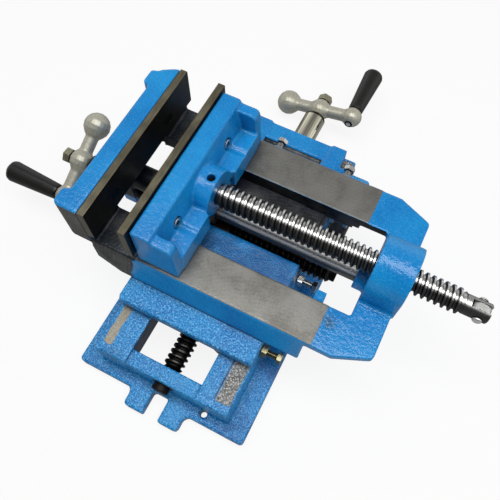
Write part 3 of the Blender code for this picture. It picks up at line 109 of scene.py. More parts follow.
def enamelled_iron(name, bare_and_shade_places, speckle, dull=0.0, stains_and_shade=(), smooth_from=None, orange=0.45):
    """Blue enamel over cast iron. bare_and_shade_places lists the places that bare_or_shade describes. speckle
    is how much of the sand's grain shows, in the bump and as painted highlights and painted shade on its
    flecks, up to y = smooth_from where that is given. dull is added to the roughness. stains_and_shade lists
    spots, real stains and painted shade: centre, reach, colour, share. orange is how deep the orange peel is.
    Convex edges get a painted highlight, and corners and hollows get painted shade."""
    finish = bpy.data.materials.new(name)
    finish.use_nodes = True
    tree = finish.node_tree
    shader = tree.nodes["Principled BSDF"]
    point = wire(tree, "TexCoord").outputs["Object"]
    cloud = grain(tree, point, often=24, detail=3)
    sand = grain(tree, point, often=740, detail=2, rough=0.6)
    peel = grain(tree, point, often=360, detail=2)
    swell = grain(tree, point, often=75, detail=2)
    paint = tint(tree, span(tree, cloud, 0.35, 0.65), screen(4, 126, 200), screen(14, 146, 216))
    amount = speckle
    if smooth_from is not None:
        side = wire(tree, "SeparateXYZ", {}, (point,)).outputs[1]
        amount = span(tree, side, smooth_from - 0.02, smooth_from, speckle, speckle * 0.15)
    # The sand's flecks are painted lighter and darker: painted highlights and painted shade on the cast skin's
    # grain.
    mixed = calc(tree, "MULTIPLY_ADD", peel, 0.12, calc(tree, "MULTIPLY", sand, 0.88))
    fleck_highlight = calc(tree, "MULTIPLY", span(tree, mixed, 0.52, 0.63, 0.0, 0.80), amount)
    paint = tint(tree, fleck_highlight, paint, screen(128, 208, 250))
    fleck_shade = calc(tree, "MULTIPLY", span(tree, mixed, 0.48, 0.36, 0.0, 0.70), amount)
    paint = tint(tree, fleck_shade, paint, screen(6, 66, 134))
    # Convex edges are painted lighter, a painted highlight and partly worn paint; concave corners are painted
    # darker as painted shade.
    bend = wire(tree, "NewGeometry").outputs["Pointiness"]
    edge_highlight_and_wear = calc(tree, "MULTIPLY", span(tree, bend, 0.53, 0.62), span(tree, peel, 0.45, 0.62, 0.0, 0.65))
    paint = tint(tree, edge_highlight_and_wear, paint, screen(110, 196, 240))
    paint = tint(tree, span(tree, bend, 0.48, 0.40, 0.0, 0.75), paint, screen(8, 48, 104))
    for centre, reach, shade, share in stains_and_shade:
        away = wire(tree, "VectorMath", {"operation": "DISTANCE"}, (point, centre)).outputs["Value"]
        away = calc(tree, "MULTIPLY_ADD", swell, reach * 2, away)
        paint = tint(tree, span(tree, away, reach * 1.95, reach * 1.1, 0.0, share), paint, shade)
    gritty = calc(tree, "MULTIPLY", sand, calc(tree, "MULTIPLY_ADD", amount, 0.65, 0.35))
    height = calc(tree, "MULTIPLY_ADD", swell, 1.6, calc(tree, "MULTIPLY_ADD", peel, orange, gritty))
    shine = span(tree, cloud, 0.3, 0.7, 0.20 + dull, 0.30 + dull)

    # Bare iron and painted shade: the rings of the face mill, its grain, smears of oil, and painted glints
    wander = wire(tree, "TexNoise", {}, {"Vector": point, "Scale": 160, "Detail": 3.0}).outputs[1]
    wander = wire(tree, "VectorMath", {"operation": "SUBTRACT"}, (wander, (0.5, 0.5, 0.5))).outputs[0]
    from_pole = wire(tree, "VectorMath", {"operation": "SUBTRACT"}, (point, (0.075, -0.14, 0))).outputs[0]
    rings = {"wave_type": "RINGS", "rings_direction": "Z", "wave_profile": "SIN"}
    swirl = wire(tree, "TexWave", rings, {"Vector": from_pole, "Scale": 95, "Distortion": 1.2,
                                          "Detail": 2.0, "Detail Scale": 2.0}).outputs[1]
    tooth = grain(tree, point, often=900, detail=3, rough=0.7)
    smear = grain(tree, point, often=42, detail=4, rough=0.6)
    milled = calc(tree, "MULTIPLY_ADD", swirl, 0.06, calc(tree, "MULTIPLY_ADD", tooth, 0.90, 0.02))
    metal = iron = rough = None
    for low, high, shade, coarse, ragged in bare_and_shade_places:
        place = point
        if ragged != (0, 0, 0):
            place = wire(tree, "VectorMath", {"operation": "MULTIPLY_ADD"}, (wander, ragged, point)).outputs[0]
        here = inside(tree, place, low, high)
        rough_here = calc(tree, "MULTIPLY", here, coarse)
        iron = tint(tree, here, iron or shade, shade)
        rough = rough_here if rough is None else calc(tree, "MAXIMUM", rough, rough_here)
        metal = here if metal is None else calc(tree, "MAXIMUM", metal, here)
    mottle = calc(tree, "MULTIPLY", span(tree, milled, 0.62, 0.34),
                  calc(tree, "MULTIPLY_ADD", rough, 0.6, 0.35))
    iron = tint(tree, mottle, iron, screen(40, 38, 34))
    iron = tint(tree, span(tree, smear, 0.40, 0.75, 0.0, 0.30), iron, screen(168, 168, 164))
    iron = tint(tree, span(tree, smear, 0.48, 0.28, 0.0, 0.35), iron, screen(70, 68, 60))
    # Painted glints: where the coarse mill marks rise, the iron is painted almost white.
    glint = calc(tree, "MULTIPLY", span(tree, milled, 0.52, 0.66), rough)
    iron = tint(tree, glint, iron, screen(226, 228, 230))
    paint = tint(tree, metal, paint, iron)
    iron_height = calc(tree, "MULTIPLY", milled, calc(tree, "MULTIPLY_ADD", rough, 0.8, 0.18))
    height = calc(tree, "MULTIPLY_ADD", calc(tree, "SUBTRACT", iron_height, height), metal, height)
    worn = span(tree, milled, 0.3, 0.7, 0.52, 0.38)
    shine = calc(tree, "MULTIPLY_ADD", calc(tree, "SUBTRACT", worn, shine), metal, shine)

    # Painted shade in hollows and where parts crowd close, from ambient occlusion, over paint and bare iron
    # alike.
    occlusion_shade = wire(tree, "AmbientOcclusion", {"samples": 4}, {"Distance": 0.018}).outputs["AO"]
    paint = tint(tree, span(tree, occlusion_shade, 0.72, 0.15, 0.0, 0.80), paint, screen(5, 26, 58))
    tree.links.new(calc(tree, "MULTIPLY", metal, 0.75), shader.inputs["Metallic"])
    tree.links.new(paint, shader.inputs["Base Color"])
    tree.links.new(shine, shader.inputs["Roughness"])
    bump = wire(tree, "Bump", {}, {"Strength": 0.40 + 0.60 * speckle, "Distance": 0.0006 + 0.0002 * speckle,
                                   "Height": height})
    tree.links.new(bump.outputs[0], shader.inputs["Normal"])
    return finish


WELD_GAP = 0.00002


def cast_skin(part, voxel, rounds, keep=1.0):
    """The soft edges and fillets of a sand casting, on the part's own shape."""
    seam = part.modifiers.new("Weld", "WELD")
    seam.merge_threshold = WELD_GAP
    skin = part.modifiers.new("Cast skin", "REMESH")
    skin.mode = "VOXEL"
    skin.voxel_size = voxel
    skin.use_smooth_shade = True
    soften = part.modifiers.new("Fillets", "SMOOTH")
    soften.factor = 0.5
    soften.iterations = rounds
    if keep < 1.0:
        thin = part.modifiers.new("Thin", "DECIMATE")
        thin.ratio = keep


def dress(part, finish):
    part.data.materials.clear()
    part.data.materials.append(finish)


way_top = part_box("base_casting")[1].z
WAY_FRONT, WAY_REAR = -0.1225, 0.127
UNDER_BASE = -0.0010
shadow_dark = screen(12, 18, 28)
flange_shade_blue = screen(12, 74, 144)
base_finish = enamelled_iron("base_enamel", [
    # The right way, coarsely milled, and the left one
    bare_or_shade((0.0468, WAY_FRONT, way_top - 0.0004), (0.0590, WAY_REAR, way_top + 0.0004),
          screen(150, 150, 146), coarse=1.0, ragged=(0.0020, 0.006, 0)),
    bare_or_shade((-0.0565, WAY_FRONT, way_top - 0.0004), (-0.0490, WAY_REAR, way_top + 0.0004),
          screen(138, 132, 114), coarse=0.15, ragged=(0.0030, 0.006, 0)),
    # The dark joint of the gib, and painted shadow of the saddle and vise body on the way and the flange beside
    # it
    bare_or_shade((0.0451, -0.1215, way_top - 0.0006), (0.0461, WAY_REAR, way_top + 0.0004),
          screen(14, 18, 24), coarse=0.0, ragged=(0.0004, 0, 0)),
    bare_or_shade((0.0598, -0.006, way_top - 0.0006), (0.096, 0.1300, way_top + 0.0004),
          shadow_dark, coarse=0.0, ragged=(0.0020, 0.004, 0)),
    bare_or_shade((0.0570, 0.0420, UNDER_BASE), (0.0810, 0.1120, 0.0135),
          shadow_dark, coarse=0.0, ragged=(0.002, 0.004, 0)),
    # The left wall of the opening, painted dark navy as painted shade
    bare_or_shade((-0.0395, -0.1270, UNDER_BASE), (-0.0370, 0.1300, 0.0462), screen(14, 44, 84), coarse=0.0),
], speckle=0.85, stains_and_shade=[
    # Painted shade: darker blue toward the flange's front corners and along its right side. The last spot
    # darkens the left way's front end.
    ((0.078, -0.150, 0.006), 0.036, flange_shade_blue, 0.80),
    ((0.080, -0.074, 0.012), 0.018, flange_shade_blue, 0.70),
    ((-0.066, -0.146, 0.012), 0.018, flange_shade_blue, 0.70),
    ((-0.046, -0.128, 0.040), 0.013, screen(10, 80, 122), 0.60)])
cast_skin(parts["base_casting"], voxel=0.0011, rounds=4, keep=0.7)
dress(parts["base_casting"], base_finish)

# Lower gib, its bolts and lock nuts
# A steel strip in the right way's groove, pressed against the saddle by three bolts through the way.
# The bolts are M6 with hexagon heads and lock nuts, zinc plated, the front one yellow.


def worked_metal(name, shade, rough, stretch=(1, 1, 1), often=900, depth=0.35, metallic=1.0, grime_and_shade=None,
                 spots=0.25, banding=0.62, ring=None):
    """Metal with the marks of its tool. spots is the share of darker clouds, and banding how bright the
    marks are beside the rest. grime_and_shade darkens round an axis: the axis, its middle, the dark distance,
    the clean one, the dark colour and None, which makes it dirt toward a thread's root. A share in place of
    the None keeps the darkening to the flanks of a thread, as dirt and as painted shade, with that share at the
    root; it is lifted along the band where the lamp's highlight falls, and the front side gets painted shade.
    ring is a dark stretch between two corners, painted shade. Hollows get painted shade from ambient occlusion."""
    finish = bpy.data.materials.new(name)
    finish.use_nodes = True
    tree = finish.node_tree
    point = wire(tree, "TexCoord").outputs["Object"]
    marks = grain(tree, point, often, detail=3, rough=0.65, stretch=stretch)
    cloud = grain(tree, point, often=140, detail=3, rough=0.6)
    darker = tuple(c * banding for c in shade[:3]) + (1,)
    skin = tint(tree, span(tree, marks, 0.38, 0.62), darker, shade)
    skin = tint(tree, span(tree, cloud, 0.45, 0.75, 0.0, spots), skin, darker)
    shine = calc(tree, "MULTIPLY_ADD", cloud, 0.12, calc(tree, "MULTIPLY_ADD", marks, 0.10, rough - 0.11))
    if grime_and_shade:
        axis, centre, root, crest, dark_tone, at_root = grime_and_shade
        away = tuple(0.0 if letter == axis else 1.0 for letter in "xyz")
        offset = wire(tree, "VectorMath", {"operation": "SUBTRACT"}, (point, centre)).outputs[0]
        offset = wire(tree, "VectorMath", {"operation": "MULTIPLY"}, (offset, away)).outputs[0]
        reach = wire(tree, "VectorMath", {"operation": "LENGTH"}, (offset,)).outputs["Value"]
        if at_root is None:
            dirt_and_shade = span(tree, reach, root, crest, 0.92, 0.0)
        else:
            # On a thread the flanks are painted dark, partly as dirt and partly as painted shade, and less so
            # along the band where the lamp's highlight falls.
            rise = crest - root
            low_flank = span(tree, reach, root + 0.08 * rise, root + 0.25 * rise, at_root, 1.0)
            high_flank = span(tree, reach, crest - 0.12 * rise, crest - 0.30 * rise, 0.0, 0.92)
            lean = calc(tree, "DIVIDE", wire(tree, "SeparateXYZ", {}, (offset,)).outputs[1], reach)
            from_highlight_band = calc(tree, "ABSOLUTE", calc(tree, "ADD", lean, 0.20))
            dirt_and_shade = calc(tree, "MULTIPLY", calc(tree, "MULTIPLY", low_flank, high_flank),
                         span(tree, from_highlight_band, 0.16, 0.32, 0.15, 1.0))
            # Painted shade on the front side of the bar.
            dirt_and_shade = calc(tree, "MAXIMUM", dirt_and_shade, span(tree, lean, -0.40, -0.60, 0.0, 0.86))
        skin = tint(tree, dirt_and_shade, skin, dark_tone)
        shine = calc(tree, "MULTIPLY_ADD", dirt_and_shade, 0.25, shine)
    # Painted shade in hollows and where parts crowd close, from ambient occlusion.
    occlusion_shade = wire(tree, "AmbientOcclusion", {"samples": 4}, {"Distance": 0.004}).outputs["AO"]
    skin = tint(tree, span(tree, occlusion_shade, 0.60, 0.15, 0.0, 0.85), skin, screen(14, 13, 12))
    if ring:
        skin = tint(tree, calc(tree, "MULTIPLY", inside(tree, point, *ring), 0.9), skin, screen(16, 15, 14))
    shader = tree.nodes["Principled BSDF"]
    shader.inputs["Metallic"].default_value = metallic
    tree.links.new(skin, shader.inputs["Base Color"])
    tree.links.new(shine, shader.inputs["Roughness"])
    bump = wire(tree, "Bump", {}, {"Strength": depth, "Distance": 0.0001, "Height": marks})
    tree.links.new(bump.outputs[0], shader.inputs["Normal"])
    return finish


def settle(name, mesh, place, finish, body, replaced, sharp=38):
    """Closes a raw mesh, smooths its shading and sets it on the vise as a piece."""
    bm = bmesh.new()
    bm.from_mesh(mesh)
    bmesh.ops.remove_doubles(bm, verts=bm.verts, dist=0.000002)
    bmesh.ops.dissolve_degenerate(bm, edges=bm.edges, dist=0.000001)
    bmesh.ops.recalc_face_normals(bm, faces=bm.faces)
    bmesh.ops.transform(bm, matrix=place, verts=bm.verts)
    bm.to_mesh(mesh)
    bm.free()
    mesh.shade_smooth()
    mesh.set_sharp_from_angle(angle=math.radians(sharp))
    mesh.materials.append(finish)
    piece = bpy.data.objects.new(name, mesh)
    scene.collection.objects.link(piece)
    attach(piece, body)
    if replaced:
        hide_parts(replaced)
    return piece


# One turn of a trapezoid thread: share of the pitch, and rise from root to crest
TRAPEZOID = ((0.0, 0.0), (0.12, 0.0), (0.34, 1.0), (0.62, 1.0), (0.84, 0.0))


def turned_bar(name, place, sections, finish, body, replaced, around=48):
    """A bar turned about its own Z and set in place. A section is (low, high, radius, radius), or a
    thread where a pitch follows: (low, high, root, crest, pitch)."""
    columns = []
    for k in range(around + 1):
        column = []
        for section in sections:
            if len(section) == 4:
                low, high, first, last = section
                column += [(first, low), (last, high)]
                continue
            low, high, root, crest, pitch = section
            for turn in range(-1, int((high - low) / pitch) + 2):
                for share, rise in TRAPEZOID:
                    z = min(max(low + pitch * (turn + share + k / around), low), high)
                    fade = min(1.0, max(0.0, min(z - low, high - z)) / (0.6 * pitch))
                    column.append((root + (crest - root) * rise * fade, z))
        angle = math.tau * k / around
        columns.append([(r * math.cos(angle), r * math.sin(angle), z) for r, z in column])
    count = len(columns[0])
    faces = [(k * count + i, (k + 1) * count + i, (k + 1) * count + i + 1, k * count + i + 1)
             for k in range(around) for i in range(count - 1)]
    mesh = bpy.data.meshes.new(name)
    mesh.from_pydata([p for column in columns for p in column], [], faces)
    return settle(name, mesh, place, finish, body, replaced)


def along(axis, middle):
    """A place whose Z points along an axis such as -X, with its origin at middle."""
    way = {"X": Vector((1, 0, 0)), "Y": Vector((0, 1, 0)), "Z": Vector((0, 0, 1))}[axis[-1]]
    if axis[0] == "-":
        way = -way
    return Matrix.Translation(middle) @ way.to_track_quat("Z", "Y").to_matrix().to_4x4()


def hexagon(name, place, width, low, high, bore, finish, body, replaced=None, turn=0.0):
    """A nut, or a bolt head where the bore is 0, with the corners of its ends turned off."""
    columns = []
    steps = 48
    face = width / 2
    chamfer = face * 0.97
    for k in range(steps):
        angle = math.tau * k / steps
        corner = face / math.cos((angle + turn + math.pi / 6) % (math.pi / 3) - math.pi / 6)
        drop = (corner - chamfer) * 0.55
        ring = [(bore, high), (chamfer, high), (corner, high - drop), (corner, low + drop),
                (chamfer, low), (bore, low)]
        columns.append([(r * math.cos(angle), r * math.sin(angle), z) for r, z in ring])
    count = len(columns[0])
    faces = []
    for k in range(steps):
        after = (k + 1) % steps
        for i in range(count):
            step = (i + 1) % count
            if bore == 0 and step == 0:
                continue
            faces.append((k * count + i, after * count + i, after * count + step, k * count + step))
    mesh = bpy.data.meshes.new(name)
    mesh.from_pydata([p for column in columns for p in column], [], faces)
    return settle(name, mesh, place, finish, body, replaced, sharp=25)


def soft_edges(part, width):
    """Breaks the sharp edges of a machined part."""
    seam = part.modifiers.new("Weld", "WELD")
    seam.merge_threshold = WELD_GAP
    flat = part.modifiers.new("Flat", "DECIMATE")
    flat.decimate_type = "DISSOLVE"
    flat.angle_limit = math.radians(0.5)
    edge = part.modifiers.new("Edges", "BEVEL")
    edge.width = width
    edge.segments = 2
    edge.limit_method = "ANGLE"
    edge.angle_limit = math.radians(32)
    edge.harden_normals = True


zinc = worked_metal("yellow_zinc", screen(164, 156, 122), rough=0.28, often=1500)
silver_zinc = worked_metal("silver_zinc", screen(222, 222, 218), rough=0.24, often=1500)
gib_iron = worked_metal("gib_iron", screen(120, 116, 110), rough=0.45, stretch=(0.3, 0.3, 1), metallic=0.8)
BOLT_PITCH = 0.001
BOLT_ROOT = 0.00245
BOLT_RADIUS = 0.003
BOLT_POINT = 0.0006
HEAD_WIDTH = 0.0088
HEAD_HEIGHT = 0.004
HEAD_FILLET = 0.0002
LOCK_NUT_WIDTH = 0.010
LOCK_NUT_BORE = BOLT_ROOT + 0.0004


def gib_bolt(prefix, number, axis, body, plating):
    """A bolt along +X or +Y: thread in the wall, lock nut on it, hexagon head at the outer end."""
    low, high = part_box("%s_gib_screw_%d" % (prefix, number))
    nut_low, nut_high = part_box("%s_gib_nut_%d" % (prefix, number))
    k = "XY".index(axis)
    middle = (low + high) / 2
    middle[k] = 0
    place = along(axis, middle)
    point, end = low[k], high[k]
    seat = end - HEAD_HEIGHT
    turned_bar("%s_gib_bolt_%d" % (prefix, number), place, [
        (point, point, 0, BOLT_RADIUS * 0.7), (point, point + BOLT_POINT, BOLT_RADIUS * 0.7, BOLT_ROOT),
        (point + BOLT_POINT, seat, BOLT_ROOT, BOLT_RADIUS, BOLT_PITCH),
        (seat, seat + HEAD_FILLET, BOLT_RADIUS, 0)],
        plating, body, "%s_gib_screw_%d" % (prefix, number), around=24)
    hexagon("%s_gib_head_%d" % (prefix, number), place, HEAD_WIDTH, seat, end, 0, plating, body,
            turn=0.4 * number)
    hexagon("%s_gib_lock_nut_%d" % (prefix, number), place, LOCK_NUT_WIDTH, nut_low[k], nut_high[k],
            LOCK_NUT_BORE, plating, body, "%s_gib_nut_%d" % (prefix, number), turn=0.5 + number)


for number in (1, 2, 3):
    front_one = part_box("y_gib_screw_%d" % number)[0].y < -0.05
    gib_bolt("y", number, "X", "base", zinc if front_one else silver_zinc)
soft_edges(parts["y_gib"], width=0.0004)
dress(parts["y_gib"], gib_iron)

# Cross feed screw and its nut
# A blackened trapezoid screw along the base, in a bronze bush at each end.
# Its bronze nut hangs under the saddle.
bronze = worked_metal("bushing_bronze", screen(56, 47, 33), rough=0.42, often=1100)
for name in ("y_front_bush", "y_rear_bush", "x_screw_bush", "y_feed_nut", "x_feed_nut"):
    soft_edges(parts[name], width=0.0003)
    dress(parts[name], bronze)
FEED_PITCH = 0.005
JOURNAL = 0.0055
STUD_RADIUS = 0.004
STUD_THREAD_END = 0.012
STUD_PITCH = 0.00125
STUD_THREAD_DEPTH = 0.0007
STUD_CHAMFER = 0.0006
STUD_END = 0.07076
HUB_BACK = 0.04304
THREAD_RUNOUT = 0.0008
TAIL_CHAMFER = 0.0005


def feed_screw(axis, wall, thread, root, crest, tail, tail_radius):
    """A lead screw whose Z runs inward from its outer end, thread behind the bearing wall."""
    node = axis + "_lead_screw"
    low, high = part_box(node)
    centre = (low + high) / 2
    outer = centre.copy()
    if axis == "x":
        outer.x = low.x
    else:
        outer.y = high.y
    inward = along("X" if axis == "x" else "-Y", outer)
    start = STUD_END + wall
    end = start + thread
    tip = STUD_RADIUS - STUD_CHAMFER
    oxide = worked_metal(axis + "_screw_oxide", screen(58, 56, 54), rough=0.30, metallic=0.9, often=1300,
                         grime_and_shade=(axis, tuple(centre), root, crest, screen(18, 17, 17), None))
    turned_bar(axis + "_feed_screw", inward, [
        (0, 0, 0, tip), (0, STUD_CHAMFER, tip, tip),
        (STUD_CHAMFER, STUD_THREAD_END, STUD_RADIUS - STUD_THREAD_DEPTH, STUD_RADIUS, STUD_PITCH),
        (STUD_THREAD_END, STUD_END - HUB_BACK, STUD_RADIUS, STUD_RADIUS),
        (STUD_END - HUB_BACK, start, JOURNAL, JOURNAL), (start, start + THREAD_RUNOUT, root, root),
        (start + THREAD_RUNOUT, end - THREAD_RUNOUT, root, crest, FEED_PITCH),
        (end - THREAD_RUNOUT, end, root, tail_radius),
        (end, end + tail - TAIL_CHAMFER, tail_radius, tail_radius),
        (end + tail, end + tail, tail_radius - TAIL_CHAMFER, 0)], oxide, axis + "_screw", node, around=40)


feed_screw("y", wall=0.0198, thread=0.2314, root=0.0065, crest=0.0088, tail=0.019, tail_radius=0.0072)

# Saddle casting
# The middle slide: its dovetail runs in the base, and the dovetail on its back carries the vise.
# Cast iron under blue enamel, rough on the bands at both ends; the slides are scraped bare.
saddle_low, saddle_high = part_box("saddle_casting")
SADDLE_TOP = 0.062
SADDLE_FOOT = 0.0474
VISE_MIDDLE = 0.010
scraped = screen(120, 117, 110)
shadow_black = screen(12, 19, 29)
seat_face = (SADDLE_TOP - 0.0004, SADDLE_TOP + 0.0004)
dovetail_face = (saddle_high.z - 0.0006, saddle_high.z + 0.001)
channel = (SADDLE_TOP - 0.004, saddle_high.z - 0.0006)
saddle_finish = enamelled_iron("saddle_enamel", [
    # Stretches across the whole saddle: middle and half width along y, heights, colour
    bare_or_shade((saddle_low.x, VISE_MIDDLE + middle - half, low), (saddle_high.x, VISE_MIDDLE + middle + half, high),
          shade)
    for middle, half, (low, high), shade in (
        (-0.0643, 0.0143, seat_face, scraped), (0.0643, 0.0143, seat_face, scraped),
        (-0.0502, 0.0118, dovetail_face, scraped), (0.0502, 0.0118, dovetail_face, scraped),
        # The last two are painted shadow: the far half of the upper dovetail's top and the screw channel, seen
        # dark through the bed window.
        (0.0190, 0.0194, dovetail_face, shadow_black), (0.0, 0.0125, channel, shadow_black))
] + [
    # The lower dovetail
    bare_or_shade((saddle_low.x, saddle_low.y, saddle_low.z - 0.001),
          (saddle_high.x, saddle_high.y, SADDLE_FOOT), scraped),
    # Painted shadow on the right end, under the vise body, which shows through the bed window
    bare_or_shade((0.042, -0.008, 0.0478), (saddle_high.x + 0.001, 0.088, SADDLE_TOP + 0.0030), shadow_black,
          coarse=0.0, ragged=(0, 0.004, 0)),
    bare_or_shade((0.042, 0.030, 0.0478), (saddle_high.x + 0.001, 0.088, saddle_high.z + 0.001), shadow_black,
          coarse=0.0, ragged=(0, 0.004, 0)),
    # Painted shade in the pocket in the rear band
    bare_or_shade((-0.0245, VISE_MIDDLE + 0.0818, SADDLE_TOP - 0.0045),
          (0.0330, VISE_MIDDLE + 0.0990, SADDLE_TOP - 0.0012), screen(4, 14, 26)),
], speckle=1.0, smooth_from=0.0, stains_and_shade=[
    # Painted shade: a deeper blue on the upper dovetail's top where it lies under the vise body in the bed
    # window.
    ((x, -0.014, saddle_high.z), 0.048, screen(2, 94, 156), 0.85)
    for x in (-0.045, -0.020, 0.005, 0.030, 0.055)])
cast_skin(parts["saddle_casting"], voxel=0.0011, rounds=4, keep=0.8)
dress(parts["saddle_casting"], saddle_finish)

# Upper gib and its bolts
# The same steel strip and three bolts for the long slide, through the rear rail of the vise.
# All three bolts are bright zinc.
for number in (1, 2, 3):
    gib_bolt("x", number, "Y", "vise_body", silver_zinc)
soft_edges(parts["x_gib"], width=0.0004)
dress(parts["x_gib"], gib_iron)

# Long feed screw
# The twin of the cross feed screw, along the saddle under the guide rod.
# It is a little thinner, and its nut sits in the saddle.
feed_screw("x", wall=0.0138, thread=0.183, root=0.0057, crest=0.008, tail=0.004, tail_radius=0.0044)

# Vise body casting
# Two flat rails round a long window, a fixed jaw at one end and the nut housing at the other.
# Blue enamel, with both rails ground bare on top and the fixed jaw's ends milled.
BODY_X, BODY_Y, BED_TOP = -0.086, VISE_MIDDLE, 0.092
HALF_BED = 0.0733
HALF_WINDOW = 0.0384
ground = screen(126, 125, 120)
brown_iron = screen(80, 78, 68)
flank_iron = screen(62, 64, 62)
bed_shade = screen(34, 44, 54)
body_finish = enamelled_iron("body_enamel", [
    # Both rails, ground
    bare_or_shade((BODY_X + 0.0330, BODY_Y + side * HALF_WINDOW, BED_TOP - 0.0003),
          (BODY_X + 0.1815, BODY_Y + side * (HALF_BED - 0.0005), BED_TOP + 0.0004), ground, coarse=0.0)
    for side in (-1, 1)
] + [
    # The front end of the fixed jaw, and the worn flank of the rail under it
    bare_or_shade((BODY_X - 0.031, BODY_Y - 0.0760, BED_TOP - 0.003),
          (BODY_X - 0.0066, BODY_Y - 0.0742, BED_TOP + 0.0440), brown_iron),
    bare_or_shade((BODY_X - 0.036, BODY_Y - HALF_BED - 0.014, BED_TOP - 0.0340),
          (BODY_X + 0.029, BODY_Y - HALF_BED + 0.012, BED_TOP - 0.0006), flank_iron,
          coarse=0.15, ragged=(0.016, 0, 0.003)),
    # Painted shade on the window's rear wall, and on its left end round the guide rod
    bare_or_shade((BODY_X - 0.030, BODY_Y + 0.0370, BED_TOP - 0.031),
          (BODY_X + 0.1975, BODY_Y + 0.0389, BED_TOP - 0.0006), shadow_black, coarse=0.0),
    bare_or_shade((BODY_X - 0.032, BODY_Y - 0.0140, BED_TOP - 0.034),
          (BODY_X + 0.009, BODY_Y + 0.0140, BED_TOP + 0.0004), shadow_black, coarse=0.0),
] + [
    # Painted shade on both rails between the jaws
    bare_or_shade((BODY_X - 0.012, BODY_Y + side * HALF_WINDOW, BED_TOP - 0.0022),
          (BODY_X + 0.0328, BODY_Y + side * 0.0745, BED_TOP + 0.0048), bed_shade, ragged=(0.003, 0.004, 0))
    for side in (-1, 1)
], speckle=0.15, dull=-0.04, orange=1.3, stains_and_shade=[
    ((BODY_X + 0.1865, BODY_Y - 0.050, BED_TOP), 0.0065, screen(44, 66, 66), 0.6)])
cast_skin(parts["body_casting"], voxel=0.0010, rounds=4, keep=0.6)
dress(parts["body_casting"], body_finish)

# Guide rod
# A ground steel rod under the clamp screw that keeps the moving jaw square.
# A band along it is painted near white and not metallic as a painted highlight, and its front side is painted
# dark as painted shade.
guide_steel = worked_metal("ground_steel", screen(250, 250, 248), rough=0.20, stretch=(1, 0.2, 0.2), often=500,
                           depth=0.04, metallic=0.7, spots=0.1, banding=0.85)
soft_edges(parts["guide_rod"], width=0.0006)
dress(parts["guide_rod"], guide_steel)
rod_low, rod_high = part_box("guide_rod")
rod_tree = guide_steel.node_tree
rod_shader = rod_tree.nodes["Principled BSDF"]
rod_point = wire(rod_tree, "TexCoord").outputs["Object"]
rod_offset = wire(rod_tree, "VectorMath", {"operation": "SUBTRACT"},
                  (rod_point, tuple((rod_low + rod_high) / 2))).outputs[0]
rod_lean = calc(rod_tree, "DIVIDE", wire(rod_tree, "SeparateXYZ", {}, (rod_offset,)).outputs[1],
                (rod_high.y - rod_low.y) / 2)
# Painted highlight along one band of the rod, and painted shade on its front side.
painted_highlight_band = calc(rod_tree, "MULTIPLY", span(rod_tree, rod_lean, -0.64, -0.56),
              span(rod_tree, rod_lean, -0.30, -0.40))
painted_front_shade = span(rod_tree, rod_lean, -0.64, -0.78, 0.0, 0.85)
rod_highlight_colour = tint(rod_tree, painted_highlight_band, rod_shader.inputs["Base Color"].links[0].from_socket, screen(252, 252, 252))
rod_tree.links.new(tint(rod_tree, painted_front_shade, rod_highlight_colour, screen(38, 40, 42)), rod_shader.inputs["Base Color"])
rod_tree.links.new(span(rod_tree, painted_highlight_band, 0.0, 1.0, 0.75, 0.0), rod_shader.inputs["Metallic"])

# Jaw plates and their screws
# Hardened steel plates, blackened, with top and ends ground to a brownish grey.
# Each is held by two socket screws, and a grub screw in the jaw's boss holds the clamp screw's nose.
PLATE_RIM = 0.0009


def jaw_steel(name):
    finish = bpy.data.materials.new(name + "_steel")
    finish.use_nodes = True
    tree = finish.node_tree
    point = wire(tree, "TexCoord").outputs["Object"]
    facing = wire(tree, "NewGeometry").outputs["True Normal"]
    across = wire(tree, "SeparateXYZ", {}, (facing,)).outputs
    marks = grain(tree, point, often=800, detail=3, rough=0.65, stretch=(1, 0.12, 1))
    cloud = grain(tree, point, often=60, detail=4, rough=0.6)
    low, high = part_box(name)
    core = inside(tree, point, (low.x - 0.01, low.y + PLATE_RIM, low.z - 0.01),
                  (high.x + 0.01, high.y - PLATE_RIM, high.z - PLATE_RIM))
    edge = calc(tree, "MULTIPLY", span(tree, calc(tree, "ABSOLUTE", across[0]), 0.80, 0.60),
                calc(tree, "SUBTRACT", 1.0, core))
    black = tint(tree, span(tree, cloud, 0.35, 0.75), screen(20, 19, 17), screen(36, 34, 30))
    brown = tint(tree, span(tree, cloud, 0.35, 0.65), screen(86, 81, 63), screen(116, 110, 89))
    brown = tint(tree, span(tree, marks, 0.4, 0.7, 0.0, 0.5), brown, screen(58, 53, 44))
    shader = tree.nodes["Principled BSDF"]
    shader.inputs["Metallic"].default_value = 0.55
    tree.links.new(tint(tree, edge, black, brown), shader.inputs["Base Color"])
    tree.links.new(span(tree, marks, 0.3, 0.7, 0.52, 0.40), shader.inputs["Roughness"])
    bump = wire(tree, "Bump", {}, {"Strength": 0.35, "Distance": 0.0001, "Height": marks})
    tree.links.new(bump.outputs[0], shader.inputs["Normal"])
    return finish


def carve(piece, cutter):
    """Cuts one closed mesh out of a piece for good."""
    step = piece.modifiers.new("Cut", "BOOLEAN")
    step.operation = "DIFFERENCE"
    step.solver = "EXACT"
    step.object = cutter
    bpy.context.view_layer.update()
    graph = bpy.context.evaluated_depsgraph_get()
    cut_mesh = bpy.data.meshes.new_from_object(piece.evaluated_get(graph))
    piece.modifiers.remove(step)
    piece.data = cut_mesh
    bpy.data.objects.remove(cutter)


def cutting_tool(bm):
    """Turns a bmesh into an object that carve can cut with."""
    mesh = bpy.data.meshes.new("cutter")
    bm.to_mesh(mesh)
    bm.free()
    tool = bpy.data.objects.new("cutter", mesh)
    scene.collection.objects.link(tool)
    return tool


